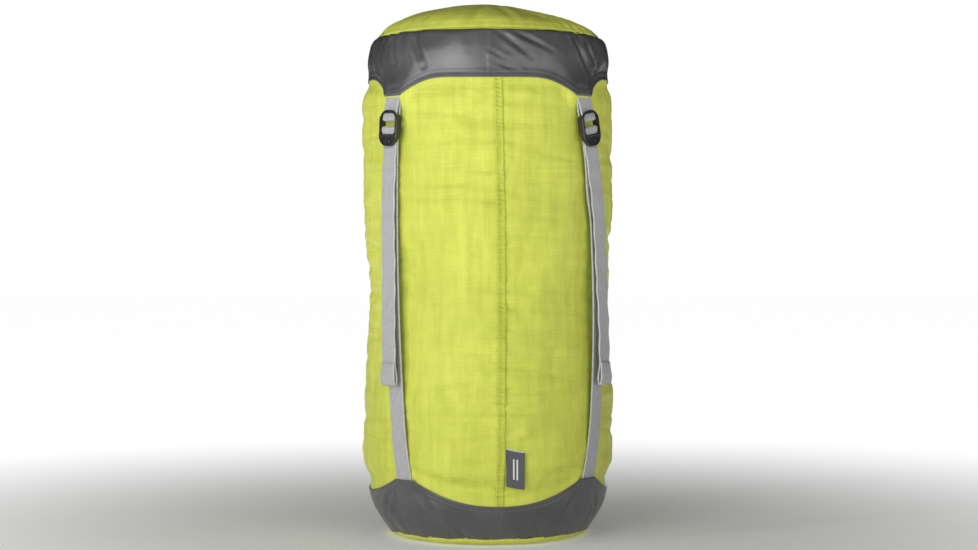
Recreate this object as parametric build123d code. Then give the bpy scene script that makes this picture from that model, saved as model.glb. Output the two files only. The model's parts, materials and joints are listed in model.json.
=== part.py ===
from build123d import *

import os
from math import asin, cos, degrees, pi, radians, sin, sqrt

# A cylindrical compression stuff sack: a drawstring bag with a sewn base, a
# loose lid, and four webbing straps that pull the lid down towards the base.
# Millimetres, +Z up. The origin is the centre of the flat base.
# Azimuth 0 is the front, which faces -Y, and it grows towards +X.

# Whole sack
TOTAL_HEIGHT = 580.0
BELLY_RADIUS = 136.6
# How far the wall and the seams stand in from the belly
WAIST_INSET = 6.0
NECK_INSET = 6.4
LID_SEAM_INSET = 16.4
BASE_HEM_INSET = 9.6
BASE_SEAM_INSET = 29.6
FOOT_INSET = 48.6

# Cloth, webbing and the room between layers
CLOTH = 1.0
WEBBING_WIDTH = 20.0
WEBBING = 1.4
LAYER_GAP = 0.2
CLEARANCE = 0.3
CURVE_ROOM = 0.7

# Base
BASE_SEAM_HEIGHT = 8.0
BASE_HEM_HEIGHT = 52.0
LOWER_BELLY_HEIGHT = 86.0
BASE_ARCH_HEIGHT = 44.0
BASE_TAB_HEIGHT = 69.0
BASE_HALF_ANGLE = 46.3
BASE_TWIST = 5.6
TAB_MARGIN = 2.0

# How many steps draw each stretch of the wall: base, lower belly, waist and neck
ZONE_STEPS = (5, 5, 12, 5)

# Waist and neck, as distances from the lid's seam
LID_RISE = 39.0
NECK_DROP = 49.0
UPPER_BELLY_DROP = 73.0
WALL_TOP_DROP = 41.0
WAIST_DROP = 283.0
WAIST_REACH = 118.0

# Lid
LID_ARCH_DROP = 54.0
LID_TAB_DROP = 70.5
LID_ARCH_FLAT = 56.0
LID_ANGLE = 45.0
ARCH_CORNER = 7.0
DOME_EDGE = 0.4
DOME_DROP = 3.0
DOME_STEPS = 12
# How far the skirt stands out from the neck, and how high above its tabs' hem
LID_SKIRT = ((12.4, 0), (9.8, 8), (7.0, 16.5), (4.6, 24.5), (3.0, 35.5), (1.8, 48.5), (-0.6, 59.5), (-3.6, 66.9))

# Vertical seam and sewn-in label
SEAM_AZIMUTH = 5.5
SEAM_WIDTH = 7.0
SEAM_STRIP = 0.8
LABEL_WIDTH = 19.0
LABEL_HEIGHT = 39.0
LABEL_TOP = 105.0
LABEL_DROOP = 3.6
LABEL = 0.7

# Drawn mouth, drawcord and cord lock
MOUTH_RING_RADIUS = 24.0
MOUTH_RING_DROP = -9.0
# How far the neck has drawn in to the mouth's ring, and how high above the lid's seam
MOUTH_SHOULDER = (
    (0.0, -40.7),
    (0.031, -25.0),
    (0.147, -10.5),
    (0.38, -4.0),
    (0.711, -1.0),
    (0.897, 1.5),
    (0.975, 6.9),
)
CORD_DIAMETER = 3.0
TUNNEL_ROOM = 1.7
CORD_GAP = 1.0
CORD_BEND = 5.0
CORD_END_INSET = 32.2
KNOT_RADIUS = 4.4
LOCK_PLACE = 48.0
BARREL_DIAMETER = 13.0
BARREL_LENGTH = 21.0
BARREL_OFFSET = 1.5
BARREL_WALL = 1.5
PLUNGER_DIAMETER = 9.4
PLUNGER_PROUD = 5.0
PLUNGER_TRAVEL = 3.0
SPRING_LENGTH = 4.5
SPRING_WIRE = 0.7
SPRING_TURNS = 3

# Buckle, with places measured from its end bar
END_BAR_DROP = 94.0
END_BAR_RADIUS = 1.6
BAR_OUT = 4.4
MIDDLE_BAR_RADIUS = 1.5
MIDDLE_BAR_OUT = 1.2
MIDDLE_BAR_DROP = 11.5
GRIP_BAR_RADIUS = 1.3
GRIP_BAR_OUT = 4.2
GRIP_BAR_DROP = 18.2
WINDOW_ROOM = 2.2
BUCKLE_DROP = 29.6
BUCKLE_RISE = 8.4
BUCKLE_FRONT = 5.4
BUCKLE_BACK = -2.1
BUCKLE_CORNER = 11.5
FRONT_ROUND = 0.9
RAIL = 2.6
TAB_BACK = 2.6
TAB_HOLLOW = 0.6
TAB_HOLE = 3.5
TOP_RAIL_BACK = 3.1
TOP_RAIL_HEIGHT = 3.2

# Strap
LOOP_SEWN = 11.0
LOOP_LEAN = 3.4
STRAP_JOIN_DROP = 22.6
STRAP_JOIN_GAP = 0.6
WRAP_FRONT = 0.75
TAIL_TOP_DROP = 30.8
TAIL_END_HEIGHT = 167.0
TAIL_HEM = 24.0
TAIL_STITCHING = 8.0
TAIL_SPREAD = 5.4
BASE_STATIONS = 5
RUN_STATIONS = 8
TAIL_STATIONS = 6
# corner: lid azimuth, how far the buckle hangs to the side, its lean and the run's bow, in degrees
CORNERS = {
    "front_left": (-LID_ANGLE, -0.7, -3.0, -2.5),
    "front_right": (LID_ANGLE, 2.3, 11.0, 6.5),
    "back_left": (LID_ANGLE - 180, -0.7, -3.0, -2.0),
    "back_right": (180 - LID_ANGLE, 0.7, 3.0, 2.0),
}

WAIST_RADIUS = BELLY_RADIUS - WAIST_INSET
NECK_RADIUS = BELLY_RADIUS - NECK_INSET
LID_SEAM_RADIUS = BELLY_RADIUS - LID_SEAM_INSET
BASE_HEM_RADIUS = BELLY_RADIUS - BASE_HEM_INSET
BASE_SEAM_RADIUS = BELLY_RADIUS - BASE_SEAM_INSET
FOOT_RADIUS = BELLY_RADIUS - FOOT_INSET
TAB_WIDTH = WEBBING_WIDTH + 2 * TAB_MARGIN
BUCKLE_WIDTH = WEBBING_WIDTH + WINDOW_ROOM + 2 * RAIL
CORD_SPACING = CORD_DIAMETER + CORD_GAP
TUNNEL_RADIUS = CORD_DIAMETER / 2 + CLOTH + TUNNEL_ROOM
CORD_END = LID_SEAM_RADIUS - CORD_END_INSET
LID_SEAM = TOTAL_HEIGHT - LID_RISE
WALL_TOP = LID_SEAM - WALL_TOP_DROP
END_BAR = LID_SEAM - END_BAR_DROP
END_BAR_CENTRE = BELLY_RADIUS + BAR_OUT
STRAP_RADIUS = BELLY_RADIUS + CLEARANCE + WEBBING / 2
BAND_GAP = LAYER_GAP + WEBBING + CURVE_ROOM + CLEARANCE
FRONT_SIDE = Plane(origin=(0, 0, 0), x_dir=(0, -1, 0), z_dir=(-1, 0, 0))


def ease(start, end, share):
    """A smooth change from start to end as share goes from 0 to 1."""
    share = min(max(share, 0), 1)
    return start + (end - start) * (1 - cos(pi * share)) / 2


def sack_radius(height):
    """Outer radius of the stuffed sack's wall."""
    if height < BASE_HEM_HEIGHT:
        share = (height - BASE_SEAM_HEIGHT) / (BASE_HEM_HEIGHT - BASE_SEAM_HEIGHT)
        return BASE_SEAM_RADIUS + (BASE_HEM_RADIUS - BASE_SEAM_RADIUS) * sin(pi / 2 * share)
    if height < LOWER_BELLY_HEIGHT:
        share = (height - BASE_HEM_HEIGHT) / (LOWER_BELLY_HEIGHT - BASE_HEM_HEIGHT)
        return ease(BASE_HEM_RADIUS, BELLY_RADIUS, share)
    if height > LID_SEAM - UPPER_BELLY_DROP:
        share = (height - LID_SEAM + UPPER_BELLY_DROP) / (UPPER_BELLY_DROP - NECK_DROP)
        return ease(BELLY_RADIUS, NECK_RADIUS, share)
    from_waist = abs(height - LID_SEAM + WAIST_DROP) / WAIST_REACH
    return ease(WAIST_RADIUS, BELLY_RADIUS, from_waist)


def around(radius, azimuth, height):
    """A point at a radius, azimuth and height."""
    return Vector(radius * sin(radians(azimuth)), -radius * cos(radians(azimuth)), height)


def wall_section(outer, thickness):
    """The half section of a cloth wall, whose outer face passes through (radius, height) points."""
    inner = []
    for i, (radius, height) in enumerate(outer):
        before = outer[max(i - 1, 0)]
        after = outer[min(i + 1, len(outer) - 1)]
        along = Vector(after[0] - before[0], after[1] - before[1]).normalized()
        inner.append((radius - thickness * along.Y, height + thickness * along.X))
    outside = [Vector(radius, 0, height) for radius, height in outer]
    inside = [Vector(radius, 0, height) for radius, height in inner]
    edges = [
        Spline(*outside),
        Line(outside[-1], inside[-1]),
        Spline(*inside[::-1]),
        Line(inside[0], outside[0]),
    ]
    return make_face(edges)


def round_wall(outer, thickness=CLOTH):
    """A closed round cloth wall."""
    return revolve(wall_section(outer, thickness), axis=Axis.Z)


def wall_points(low, high, out=0.0):
    """Points over the sack's wall between two heights, out being measured square to the wall."""
    upper_belly = LID_SEAM - UPPER_BELLY_DROP
    zones = [BASE_SEAM_HEIGHT, BASE_HEM_HEIGHT, LOWER_BELLY_HEIGHT, upper_belly, LID_SEAM - NECK_DROP]
    heights = []
    for start, end, steps in zip(zones, zones[1:], ZONE_STEPS):
        heights += [start + (end - start) * i / steps for i in range(steps)]
    points = []
    for height in [low] + [z for z in heights if low < z < high] + [high]:
        slope = (sack_radius(height + 1) - sack_radius(height - 1)) / 2
        points.append((sack_radius(height) + out * sqrt(1 + slope**2), height))
    return points


def webbing_along(points, radii):
    """Webbing swept along (outward, height) points, centred on the strap's middle plane."""
    path = FilletPolyline(*[(0, -out, height) for out, height in points], radius=radii)
    start = Plane(origin=path @ 0, x_dir=(1, 0, 0), z_dir=path % 0)
    return sweep(start * Rectangle(WEBBING_WIDTH, WEBBING), path=path)


def webbing_through(route):
    """Webbing lofted through a list of points on the sack's side."""
    sections = []
    for i, place in enumerate(route):
        along = route[min(i + 1, len(route) - 1)] - route[max(i - 1, 0)]
        across = Vector(-place.Y, place.X, 0)
        plane = Plane(origin=place, x_dir=across, z_dir=along)
        sections.append(plane * Rectangle(WEBBING_WIDTH, WEBBING))
    return loft(sections, ruled=True)


def buckle_azimuth(corner):
    lid_azimuth, aside = CORNERS[corner][:2]
    return lid_azimuth + aside


def at_buckle(corner):
    """The place of a corner's buckle: height of the end bar, lean and azimuth."""
    lean = CORNERS[corner][2]
    return Rot(0, 0, buckle_azimuth(corner)) * Pos(0, 0, END_BAR) * Rot(0, -lean, 0)


def on_buckle(corner, out, drop):
    """A point of the buckle's middle plane, out from and below its end bar, in the sack's frame."""
    local = Pos(0, -END_BAR_CENTRE - out, -drop)
    return (at_buckle(corner) * local).position


def azimuth_of(place):
    return degrees(asin(place.X / sqrt(place.X**2 + place.Y**2)))


def base_azimuth(corner):
    """Where a corner's strap is sewn to the base, which is twisted against the lid."""
    side = 1 if corner.endswith("right") else -1
    if corner.startswith("front"):
        return side * BASE_HALF_ANGLE + BASE_TWIST
    return side * (180 - BASE_HALF_ANGLE) + BASE_TWIST


def strap_azimuth(corner, height):
    """Azimuth of a strap's middle line between the base tab and the buckle."""
    top = on_buckle(corner, BUCKLE_BACK, STRAP_JOIN_DROP)
    across = azimuth_of(top)
    if corner.startswith("back"):
        across = (180 if across > 0 else -180) - across
    bow = CORNERS[corner][3]
    share = (height - BASE_TAB_HEIGHT) / (top.Z - BASE_TAB_HEIGHT)
    share = min(max(share, 0), 1)
    return base_azimuth(corner) + (across - base_azimuth(corner)) * share + bow * 4 * share * (1 - share)


def strap_radius(height):
    """Radius of a run's middle line: on the base's wall, then straight up to the buckle."""
    if height < LOWER_BELLY_HEIGHT:
        return sack_radius(height) + LAYER_GAP + CLEARANCE + WEBBING / 2
    share = (height - LOWER_BELLY_HEIGHT) / (END_BAR - LOWER_BELLY_HEIGHT)
    buckled = END_BAR_CENTRE + MIDDLE_BAR_OUT - MIDDLE_BAR_RADIUS - CLEARANCE - WEBBING / 2
    start = STRAP_RADIUS + LAYER_GAP
    return start + (buckled - start) * share


def make_base_disc():
    """Round bottom panel, flat where the sack stands and turned up to its seam."""
    edge = BASE_SEAM_RADIUS + BAND_GAP + CLOTH
    rise = BASE_SEAM_HEIGHT - CLEARANCE - CLOTH
    edges = [
        Line((0, 0, 0), (FOOT_RADIUS, 0, 0)),
        TangentArc((FOOT_RADIUS, 0, 0), (edge, 0, rise), tangent=(1, 0, 0)),
        Line((edge, 0, rise), (edge - CLOTH / 2, 0, rise + CLOTH)),
        TangentArc((FOOT_RADIUS, 0, CLOTH), (edge - CLOTH / 2, 0, rise + CLOTH), tangent=(1, 0, 0)),
        Line((FOOT_RADIUS, 0, CLOTH), (0, 0, CLOTH)),
        Line((0, 0, CLOTH), (0, 0, 0)),
    ]
    return revolve(make_face(edges), axis=Axis.Z)


def make_sack_body():
    """The lime wall of the bag, from the base seam to just under the lid."""
    return round_wall(wall_points(BASE_SEAM_HEIGHT, WALL_TOP))


def make_body_seam():
    """The folded seam strip down the front of the wall."""
    out = LAYER_GAP + CLEARANCE + SEAM_STRIP
    section = wall_section(wall_points(BASE_ARCH_HEIGHT - TAB_WIDTH / 2, WALL_TOP, out), SEAM_STRIP)
    arc = degrees(SEAM_WIDTH / BELLY_RADIUS)
    strip = revolve(section, axis=Axis.Z, revolution_arc=arc)
    return Rot(0, 0, SEAM_AZIMUTH - 90 - arc / 2) * strip


def arch_cutter(outline, azimuth):
    """A radial cutter that shapes a band's edge, drawn as seen from the front."""
    prism = extrude(make_face(outline), amount=2 * BELLY_RADIUS, dir=(0, -1, 0))
    return Rot(0, 0, azimuth) * prism


def make_base_band():
    """The coated band round the bottom, whose upper edge rises to a tab at each strap."""
    out = BAND_GAP + CLOTH
    band = round_wall(wall_points(BASE_SEAM_HEIGHT, BASE_TAB_HEIGHT, out))
    tab_angle = degrees(TAB_WIDTH / 2 / BASE_HEM_RADIUS)
    cutters = []
    for azimuth, half_angle in ((0, BASE_HALF_ANGLE), (90, 90 - BASE_HALF_ANGLE)):
        reach = (sack_radius(BASE_TAB_HEIGHT) + out) * sin(radians(half_angle - tab_angle))
        left = (-reach, 0, BASE_TAB_HEIGHT)
        right = (reach, 0, BASE_TAB_HEIGHT)
        above = BASE_TAB_HEIGHT + TAB_WIDTH
        outline = [
            ThreePointArc(left, (0, 0, BASE_ARCH_HEIGHT), right),
            Line(right, (reach, 0, above)),
            Line((reach, 0, above), (-reach, 0, above)),
            Line((-reach, 0, above), left),
        ]
        for turn in (0, 180):
            cutters.append(arch_cutter(outline, azimuth + turn + BASE_TWIST))
    return band - cutters


def make_strap_run(corner):
    """The webbing sewn under a base tab, up to the back of its buckle."""
    high = on_buckle(corner, BUCKLE_BACK, STRAP_JOIN_DROP).Z - STRAP_JOIN_GAP
    low = BASE_ARCH_HEIGHT + CLEARANCE
    on_base = LOWER_BELLY_HEIGHT - low
    heights = [low + on_base * i / BASE_STATIONS for i in range(BASE_STATIONS)]
    on_wall = high - LOWER_BELLY_HEIGHT
    heights += [LOWER_BELLY_HEIGHT + on_wall * i / RUN_STATIONS for i in range(RUN_STATIONS + 1)]
    return webbing_through([around(strap_radius(z), strap_azimuth(corner, z), z) for z in heights])


def make_mouth_collar():
    """The gathered top of the bag, drawn in to a small mouth, with the cord's tunnel round it."""
    ring = LID_SEAM - MOUTH_RING_DROP
    room = NECK_RADIUS - MOUTH_RING_RADIUS
    shoulder = [(NECK_RADIUS - room * share, LID_SEAM + rise) for share, rise in MOUTH_SHOULDER]
    sheet = round_wall(shoulder)
    tube = Plane.XZ * Pos(MOUTH_RING_RADIUS, ring) * Circle(TUNNEL_RADIUS)
    bore = Plane.XZ * Pos(MOUTH_RING_RADIUS, ring) * Circle(TUNNEL_RADIUS - CLOTH)
    collar = sheet + revolve(tube, axis=Axis.Z)
    slot_width = CORD_SPACING + 2 * CORD_BEND + CORD_DIAMETER
    slot = Pos(0, MOUTH_RING_RADIUS + TUNNEL_RADIUS, ring)
    slot = slot * Box(slot_width, 2 * TUNNEL_RADIUS, CORD_DIAMETER + 4 * CLEARANCE)
    return collar - revolve(bore, axis=Axis.Z) - slot


def make_drawcord():
    """One cord round the tunnel, whose two ends leave at the back and meet in a knot."""
    side = CORD_SPACING / 2
    turn_x = side + CORD_BEND
    turn_y = sqrt((MOUTH_RING_RADIUS + CORD_BEND) ** 2 - turn_x**2)
    leave = degrees(asin(turn_x / (MOUTH_RING_RADIUS + CORD_BEND)))
    path = Curve() + [
        Line((side, CORD_END), (side, turn_y)),
        CenterArc((turn_x, turn_y), CORD_BEND, 180, 90 - leave),
        CenterArc((0, 0), MOUTH_RING_RADIUS, 90 - leave, -360 + 2 * leave),
        CenterArc((-turn_x, turn_y), CORD_BEND, leave - 90, 90 - leave),
        Line((-side, turn_y), (-side, CORD_END)),
    ]
    path = Wire(path.edges())
    section = Plane(origin=path @ 0, z_dir=path % 0) * Circle(CORD_DIAMETER / 2)
    knot = Pos(0, CORD_END, 0) * Sphere(KNOT_RADIUS)
    return Pos(0, 0, LID_SEAM - MOUTH_RING_DROP) * (sweep(section, path=path) + knot)


def cord_slot(from_x, to_x, depth):
    """A slot across the lock, wide enough for both strands."""
    height = CORD_DIAMETER + 2 * CLEARANCE
    return Pos((from_x + to_x) / 2, 0, 0) * Box(to_x - from_x, depth, height)


def lock_places():
    """Ends of the barrel and of the plunger along the lock's axis, at rest."""
    barrel_low = BARREL_OFFSET - BARREL_LENGTH / 2
    barrel_high = BARREL_OFFSET + BARREL_LENGTH / 2
    plunger_high = barrel_high - BARREL_WALL - SPRING_LENGTH
    return barrel_low, barrel_high, barrel_low - PLUNGER_PROUD, plunger_high


def at_lock(shape):
    """Set a lock piece, made round the X axis, on the two strands."""
    return Pos(0, LOCK_PLACE, LID_SEAM - MOUTH_RING_DROP) * shape


def rod(low, high, diameter):
    """A round bar along X."""
    return Pos((low + high) / 2, 0, 0) * Rot(0, 90, 0) * Cylinder(diameter / 2, high - low)


def make_cord_lock_barrel():
    """The lock's barrel: bored for the plunger and slotted for both strands."""
    low, high = lock_places()[:2]
    grip = CORD_SPACING / 2 + CORD_DIAMETER / 2 + CLEARANCE
    barrel = rod(low, high, BARREL_DIAMETER)
    barrel = chamfer(barrel.edges(), 0.8)
    bore = rod(low - BARREL_WALL, high - BARREL_WALL, PLUNGER_DIAMETER + 2 * CLEARANCE)
    return at_lock(barrel - bore - cord_slot(-grip, grip, BARREL_DIAMETER + 2))


def make_cord_lock_plunger():
    """The sprung button, whose slot pinches the strands until it is pressed."""
    plunger_low, plunger_high = lock_places()[2:]
    grip = CORD_SPACING / 2 + CORD_DIAMETER / 2 + CLEARANCE
    plunger = rod(plunger_low, plunger_high, PLUNGER_DIAMETER)
    plunger = fillet(plunger.edges().sort_by(Axis.X)[0], 1.2)
    return at_lock(plunger - cord_slot(-grip - PLUNGER_TRAVEL, grip, PLUNGER_DIAMETER + 2))


def make_cord_lock_spring():
    """The small coil behind the plunger."""
    start = lock_places()[3] + CLEARANCE + SPRING_WIRE / 2
    length = SPRING_LENGTH - 2 * CLEARANCE - SPRING_WIRE
    radius = PLUNGER_DIAMETER / 2 - BARREL_WALL
    path = Helix(pitch=length / SPRING_TURNS, height=length, radius=radius)
    section = Plane(origin=path @ 0, z_dir=path % 0) * Circle(SPRING_WIRE / 2)
    coil = sweep(section, path=path, is_frenet=True)
    return at_lock(Pos(start, 0, 0) * Rot(0, 90, 0) * coil)


def dome_points(inset):
    """Points over the dome's elliptical section, moved in by an inset, from its apex to its seam."""
    across = LID_SEAM_RADIUS + DOME_EDGE - inset
    rise = LID_RISE + DOME_DROP - inset
    lowest = asin(DOME_DROP / (LID_RISE + DOME_DROP))
    points = [Vector(0, 0, TOTAL_HEIGHT - inset)]
    for i in range(1, DOME_STEPS + 1):
        turn = pi / 2 - (pi / 2 - lowest) * i / DOME_STEPS
        points.append(Vector(across * cos(turn), 0, LID_SEAM - DOME_DROP + rise * sin(turn)))
    return points


def make_lid_disc():
    """The domed lime top panel, nearly flat in the middle and steep at its seam."""
    outer = dome_points(0)
    inner = dome_points(CLOTH)
    edges = [
        Spline(*outer, tangents=((1, 0, 0), outer[-1] - outer[-2])),
        Line(outer[-1], inner[-1]),
        Spline(*inner[::-1], tangents=(inner[-2] - inner[-1], (-1, 0, 0))),
        Line(inner[0], outer[0]),
    ]
    return revolve(make_face(edges), axis=Axis.Z)


def make_lid_band():
    """The coated skirt of the lid, which flares over the anchor webbing at four tabs."""
    tab = LID_SEAM - LID_TAB_DROP
    arch = LID_SEAM - LID_ARCH_DROP
    skirt = [(NECK_RADIUS + out, tab + height) for out, height in LID_SKIRT]
    skirt.append((LID_SEAM_RADIUS + CLOTH + CLEARANCE, LID_SEAM - CLOTH))
    band = round_wall(skirt)
    tab_angle = degrees(TAB_WIDTH / 2 / BELLY_RADIUS)
    reach = skirt[0][0] * sin(radians(LID_ANGLE - tab_angle))
    below = tab - TAB_WIDTH
    corners = [(-reach, 0, below), (-reach, 0, tab + CLOTH), (-LID_ARCH_FLAT, 0, arch)]
    corners += [(-x, 0, z) for x, y, z in corners[::-1]]
    outline = [FilletPolyline(*corners, radius=ARCH_CORNER), Line(corners[-1], corners[0])]
    return band - [arch_cutter(outline, 90 * side) for side in range(4)]


def make_lid_loop(corner):
    """The short webbing loop sewn under a lid tab, round the buckle's end bar."""
    loop = END_BAR_RADIUS + CLEARANCE + WEBBING / 2
    layer = WEBBING + LAYER_GAP
    tab = END_BAR_DROP - LID_TAB_DROP
    inner_tab = WEBBING / 2 + CURVE_ROOM - BAR_OUT
    inner_top = inner_tab - LOOP_LEAN
    top = tab + LOOP_SEWN
    points = [
        (inner_top, top),
        (inner_tab, tab),
        (-loop, -loop),
        (loop + CURVE_ROOM, -loop),
        (inner_tab + layer, tab),
        (inner_top + layer, top),
    ]
    points = [(END_BAR_CENTRE + out, height) for out, height in points]
    tight = loop - LAYER_GAP
    return at_buckle(corner) * webbing_along(points, [WEBBING_WIDTH, tight, tight, WEBBING_WIDTH])


def cross_bar(out, drop, radius):
    """A round bar between the buckle's rails."""
    reach = BUCKLE_WIDTH / 2 - RAIL / 2
    return Pos(0, -END_BAR_CENTRE - out, -drop) * rod(-reach, reach, 2 * radius)


def make_ladder_buckle(corner):
    """The ladder lock: an oval frame with three bars, an arched top rail and a thumb tab with a hole."""
    height = BUCKLE_RISE + BUCKLE_DROP
    middle = (BUCKLE_RISE - BUCKLE_DROP) / 2
    side = [
        (TOP_RAIL_BACK - CLEARANCE, BUCKLE_RISE),
        (BUCKLE_FRONT, BUCKLE_RISE),
        (BUCKLE_FRONT, -BUCKLE_DROP),
        (TAB_BACK - CLEARANCE, -BUCKLE_DROP),
        (TAB_BACK - 2 * CLEARANCE, -GRIP_BAR_DROP - MIDDLE_BAR_DROP / 2),
        (BUCKLE_BACK, -MIDDLE_BAR_DROP - MIDDLE_BAR_RADIUS),
        (BUCKLE_BACK, END_BAR_RADIUS),
    ]
    front_face = -END_BAR_CENTRE - BUCKLE_FRONT
    outline = Pos(0, front_face, middle) * Rot(90, 0, 0) * RectangleRounded(BUCKLE_WIDTH, height, BUCKLE_CORNER)
    oval = extrude(outline, amount=BUCKLE_FRONT - BUCKLE_BACK, dir=(0, 1, 0))
    oval = fillet(oval.faces().sort_by(Axis.Y)[0].edges(), FRONT_ROUND)
    side_face = make_face(Polyline(*[(END_BAR_CENTRE + out, rise) for out, rise in side], close=True))
    frame = oval & extrude(FRONT_SIDE * side_face, amount=BUCKLE_WIDTH, both=True)
    window = BUCKLE_WIDTH - 2 * RAIL
    window_top = BUCKLE_RISE - TOP_RAIL_HEIGHT
    window_low = -GRIP_BAR_DROP
    opening = Pos(0, front_face, (window_top + window_low) / 2) * Rot(90, 0, 0)
    opening = opening * RectangleRounded(window, window_top - window_low, 2 * RAIL)
    frame -= extrude(opening, amount=2 * BUCKLE_WIDTH, both=True)
    channel_top = 2 * BUCKLE_RISE
    frame -= Pos(0, -END_BAR_CENTRE - TOP_RAIL_BACK + BUCKLE_WIDTH, channel_top) * Box(
        window, 2 * BUCKLE_WIDTH, 2 * (channel_top - window_top) + BUCKLE_RISE
    )
    frame -= Pos(0, -END_BAR_CENTRE - TAB_BACK + BUCKLE_WIDTH, -BUCKLE_DROP) * Box(
        window, 2 * BUCKLE_WIDTH, 2 * (BUCKLE_DROP - MIDDLE_BAR_DROP - 2 * MIDDLE_BAR_RADIUS)
    )
    frame += cross_bar(0, 0, END_BAR_RADIUS)
    frame += cross_bar(MIDDLE_BAR_OUT, MIDDLE_BAR_DROP, MIDDLE_BAR_RADIUS)
    frame += cross_bar(GRIP_BAR_OUT, GRIP_BAR_DROP, GRIP_BAR_RADIUS)
    tab_middle = (BUCKLE_DROP + GRIP_BAR_DROP + GRIP_BAR_RADIUS) / 2
    hollow = Pos(0, front_face, -tab_middle) * Rot(90, 0, 0)
    hollow = hollow * RectangleRounded(window - 2 * RAIL, TAB_HOLE * 2, TAB_HOLE - CLEARANCE)
    frame -= extrude(hollow, amount=2 * TAB_HOLLOW, both=True)
    hole = Pos(0, front_face, -tab_middle) * Rot(90, 0, 0) * Cylinder(TAB_HOLE / 2, 2 * BUCKLE_WIDTH)
    return at_buckle(corner) * (frame - hole)


def make_strap_wrap(corner):
    """The webbing over the middle bar and back down behind the grip bar and the thumb tab."""
    bend = MIDDLE_BAR_RADIUS + CLEARANCE + WEBBING / 2
    over = bend - MIDDLE_BAR_DROP
    points = [
        (MIDDLE_BAR_OUT - bend, -STRAP_JOIN_DROP),
        (MIDDLE_BAR_OUT - bend, over),
        (MIDDLE_BAR_OUT + bend, over),
        (MIDDLE_BAR_OUT + bend, -MIDDLE_BAR_DROP - MIDDLE_BAR_RADIUS),
        (WRAP_FRONT, -GRIP_BAR_DROP - GRIP_BAR_RADIUS),
        (WRAP_FRONT, -TAIL_TOP_DROP + WEBBING),
    ]
    points = [(END_BAR_CENTRE + out, height) for out, height in points]
    tight = bend - 0.05
    return at_buckle(corner) * webbing_along(points, [tight, tight, MIDDLE_BAR_RADIUS, 2 * WEBBING])


def make_strap_tail(corner):
    """The loose end of the strap, which hangs in front of the run and ends in a folded hem."""
    top = on_buckle(corner, WRAP_FRONT, TAIL_TOP_DROP)
    radius_top = sqrt(top.X**2 + top.Y**2)
    end = TAIL_END_HEIGHT + TAIL_HEM
    route = []
    for i in range(TAIL_STATIONS):
        share = i / (TAIL_STATIONS - 1)
        height = top.Z + (end - top.Z) * share
        azimuth = strap_azimuth(corner, height)
        route.append(around(radius_top + TAIL_SPREAD * share, azimuth, height))
    last = route[-1]
    hem_plane = Plane(origin=last, x_dir=Vector(-last.Y, last.X, 0), z_dir=last - route[-2])
    layer = WEBBING + LAYER_GAP
    open_fold = [(0, 0), (0, TAIL_STITCHING), (-layer, TAIL_STITCHING * 1.8), (-layer, TAIL_HEM)]
    fold = open_fold + [(layer - out, height) for out, height in open_fold[::-1]]
    tight = layer * 1.5 - 0.05
    radii = [TAIL_STITCHING / 2, TAIL_STITCHING / 2, tight, tight, TAIL_STITCHING / 2, TAIL_STITCHING / 2]
    path = FilletPolyline(*[(0, out, height) for out, height in fold], radius=radii)
    hem = hem_plane * sweep(Rectangle(WEBBING_WIDTH, WEBBING), path=path)
    return webbing_through(route) + hem


def make_label():
    """The woven label caught in the seam by its left edge."""
    out = sack_radius(LABEL_TOP) + LAYER_GAP + 2 * CLEARANCE + LABEL
    azimuth = SEAM_AZIMUTH + degrees(SEAM_WIDTH / 2 / BELLY_RADIUS) + 1
    start = CLEARANCE
    outline = Polyline(
        (start, -out, LABEL_TOP),
        (start + LABEL_WIDTH, -out, LABEL_TOP - LABEL_DROOP),
        (start + LABEL_WIDTH, -out, LABEL_TOP - LABEL_DROOP - LABEL_HEIGHT),
        (start, -out, LABEL_TOP - LABEL_HEIGHT),
        close=True,
    )
    return Rot(0, 0, azimuth) * extrude(make_face(outline), amount=LABEL, dir=(0, 1, 0))


def make_parts():
    """Every sub-part by its name."""
    parts = {
        "base_disc": make_base_disc(),
        "base_band": make_base_band(),
        "sack_body": make_sack_body(),
        "body_seam": make_body_seam(),
        "mouth_collar": make_mouth_collar(),
        "drawcord": make_drawcord(),
        "cord_lock_barrel": make_cord_lock_barrel(),
        "cord_lock_plunger": make_cord_lock_plunger(),
        "cord_lock_spring": make_cord_lock_spring(),
        "lid_disc": make_lid_disc(),
        "lid_band": make_lid_band(),
        "woven_label": make_label(),
    }
    for corner in CORNERS:
        parts[f"strap_run_{corner}"] = make_strap_run(corner)
        parts[f"lid_loop_{corner}"] = make_lid_loop(corner)
        parts[f"ladder_buckle_{corner}"] = make_ladder_buckle(corner)
        parts[f"strap_wrap_{corner}"] = make_strap_wrap(corner)
        parts[f"strap_tail_{corner}"] = make_strap_tail(corner)
    return parts


os.makedirs("parts", exist_ok=True)
for name, shape in make_parts().items():
    shape.label = name
    export_step(shape, f"parts/{name}.step")
    print(name, round(shape.volume), "mm3")
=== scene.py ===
# %% [markdown]
# # A compression stuff sack
#
# A round lime bag, drawn shut under a separate lid. Four webbing straps run from
# the grey base band, through ladder buckles, and pull the lid down towards the base.
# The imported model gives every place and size, so it is loaded first and never moved.

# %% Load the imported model
import json
import math
import bmesh
import bpy
import numpy as np
from mathutils import Matrix, Vector, noise


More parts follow.
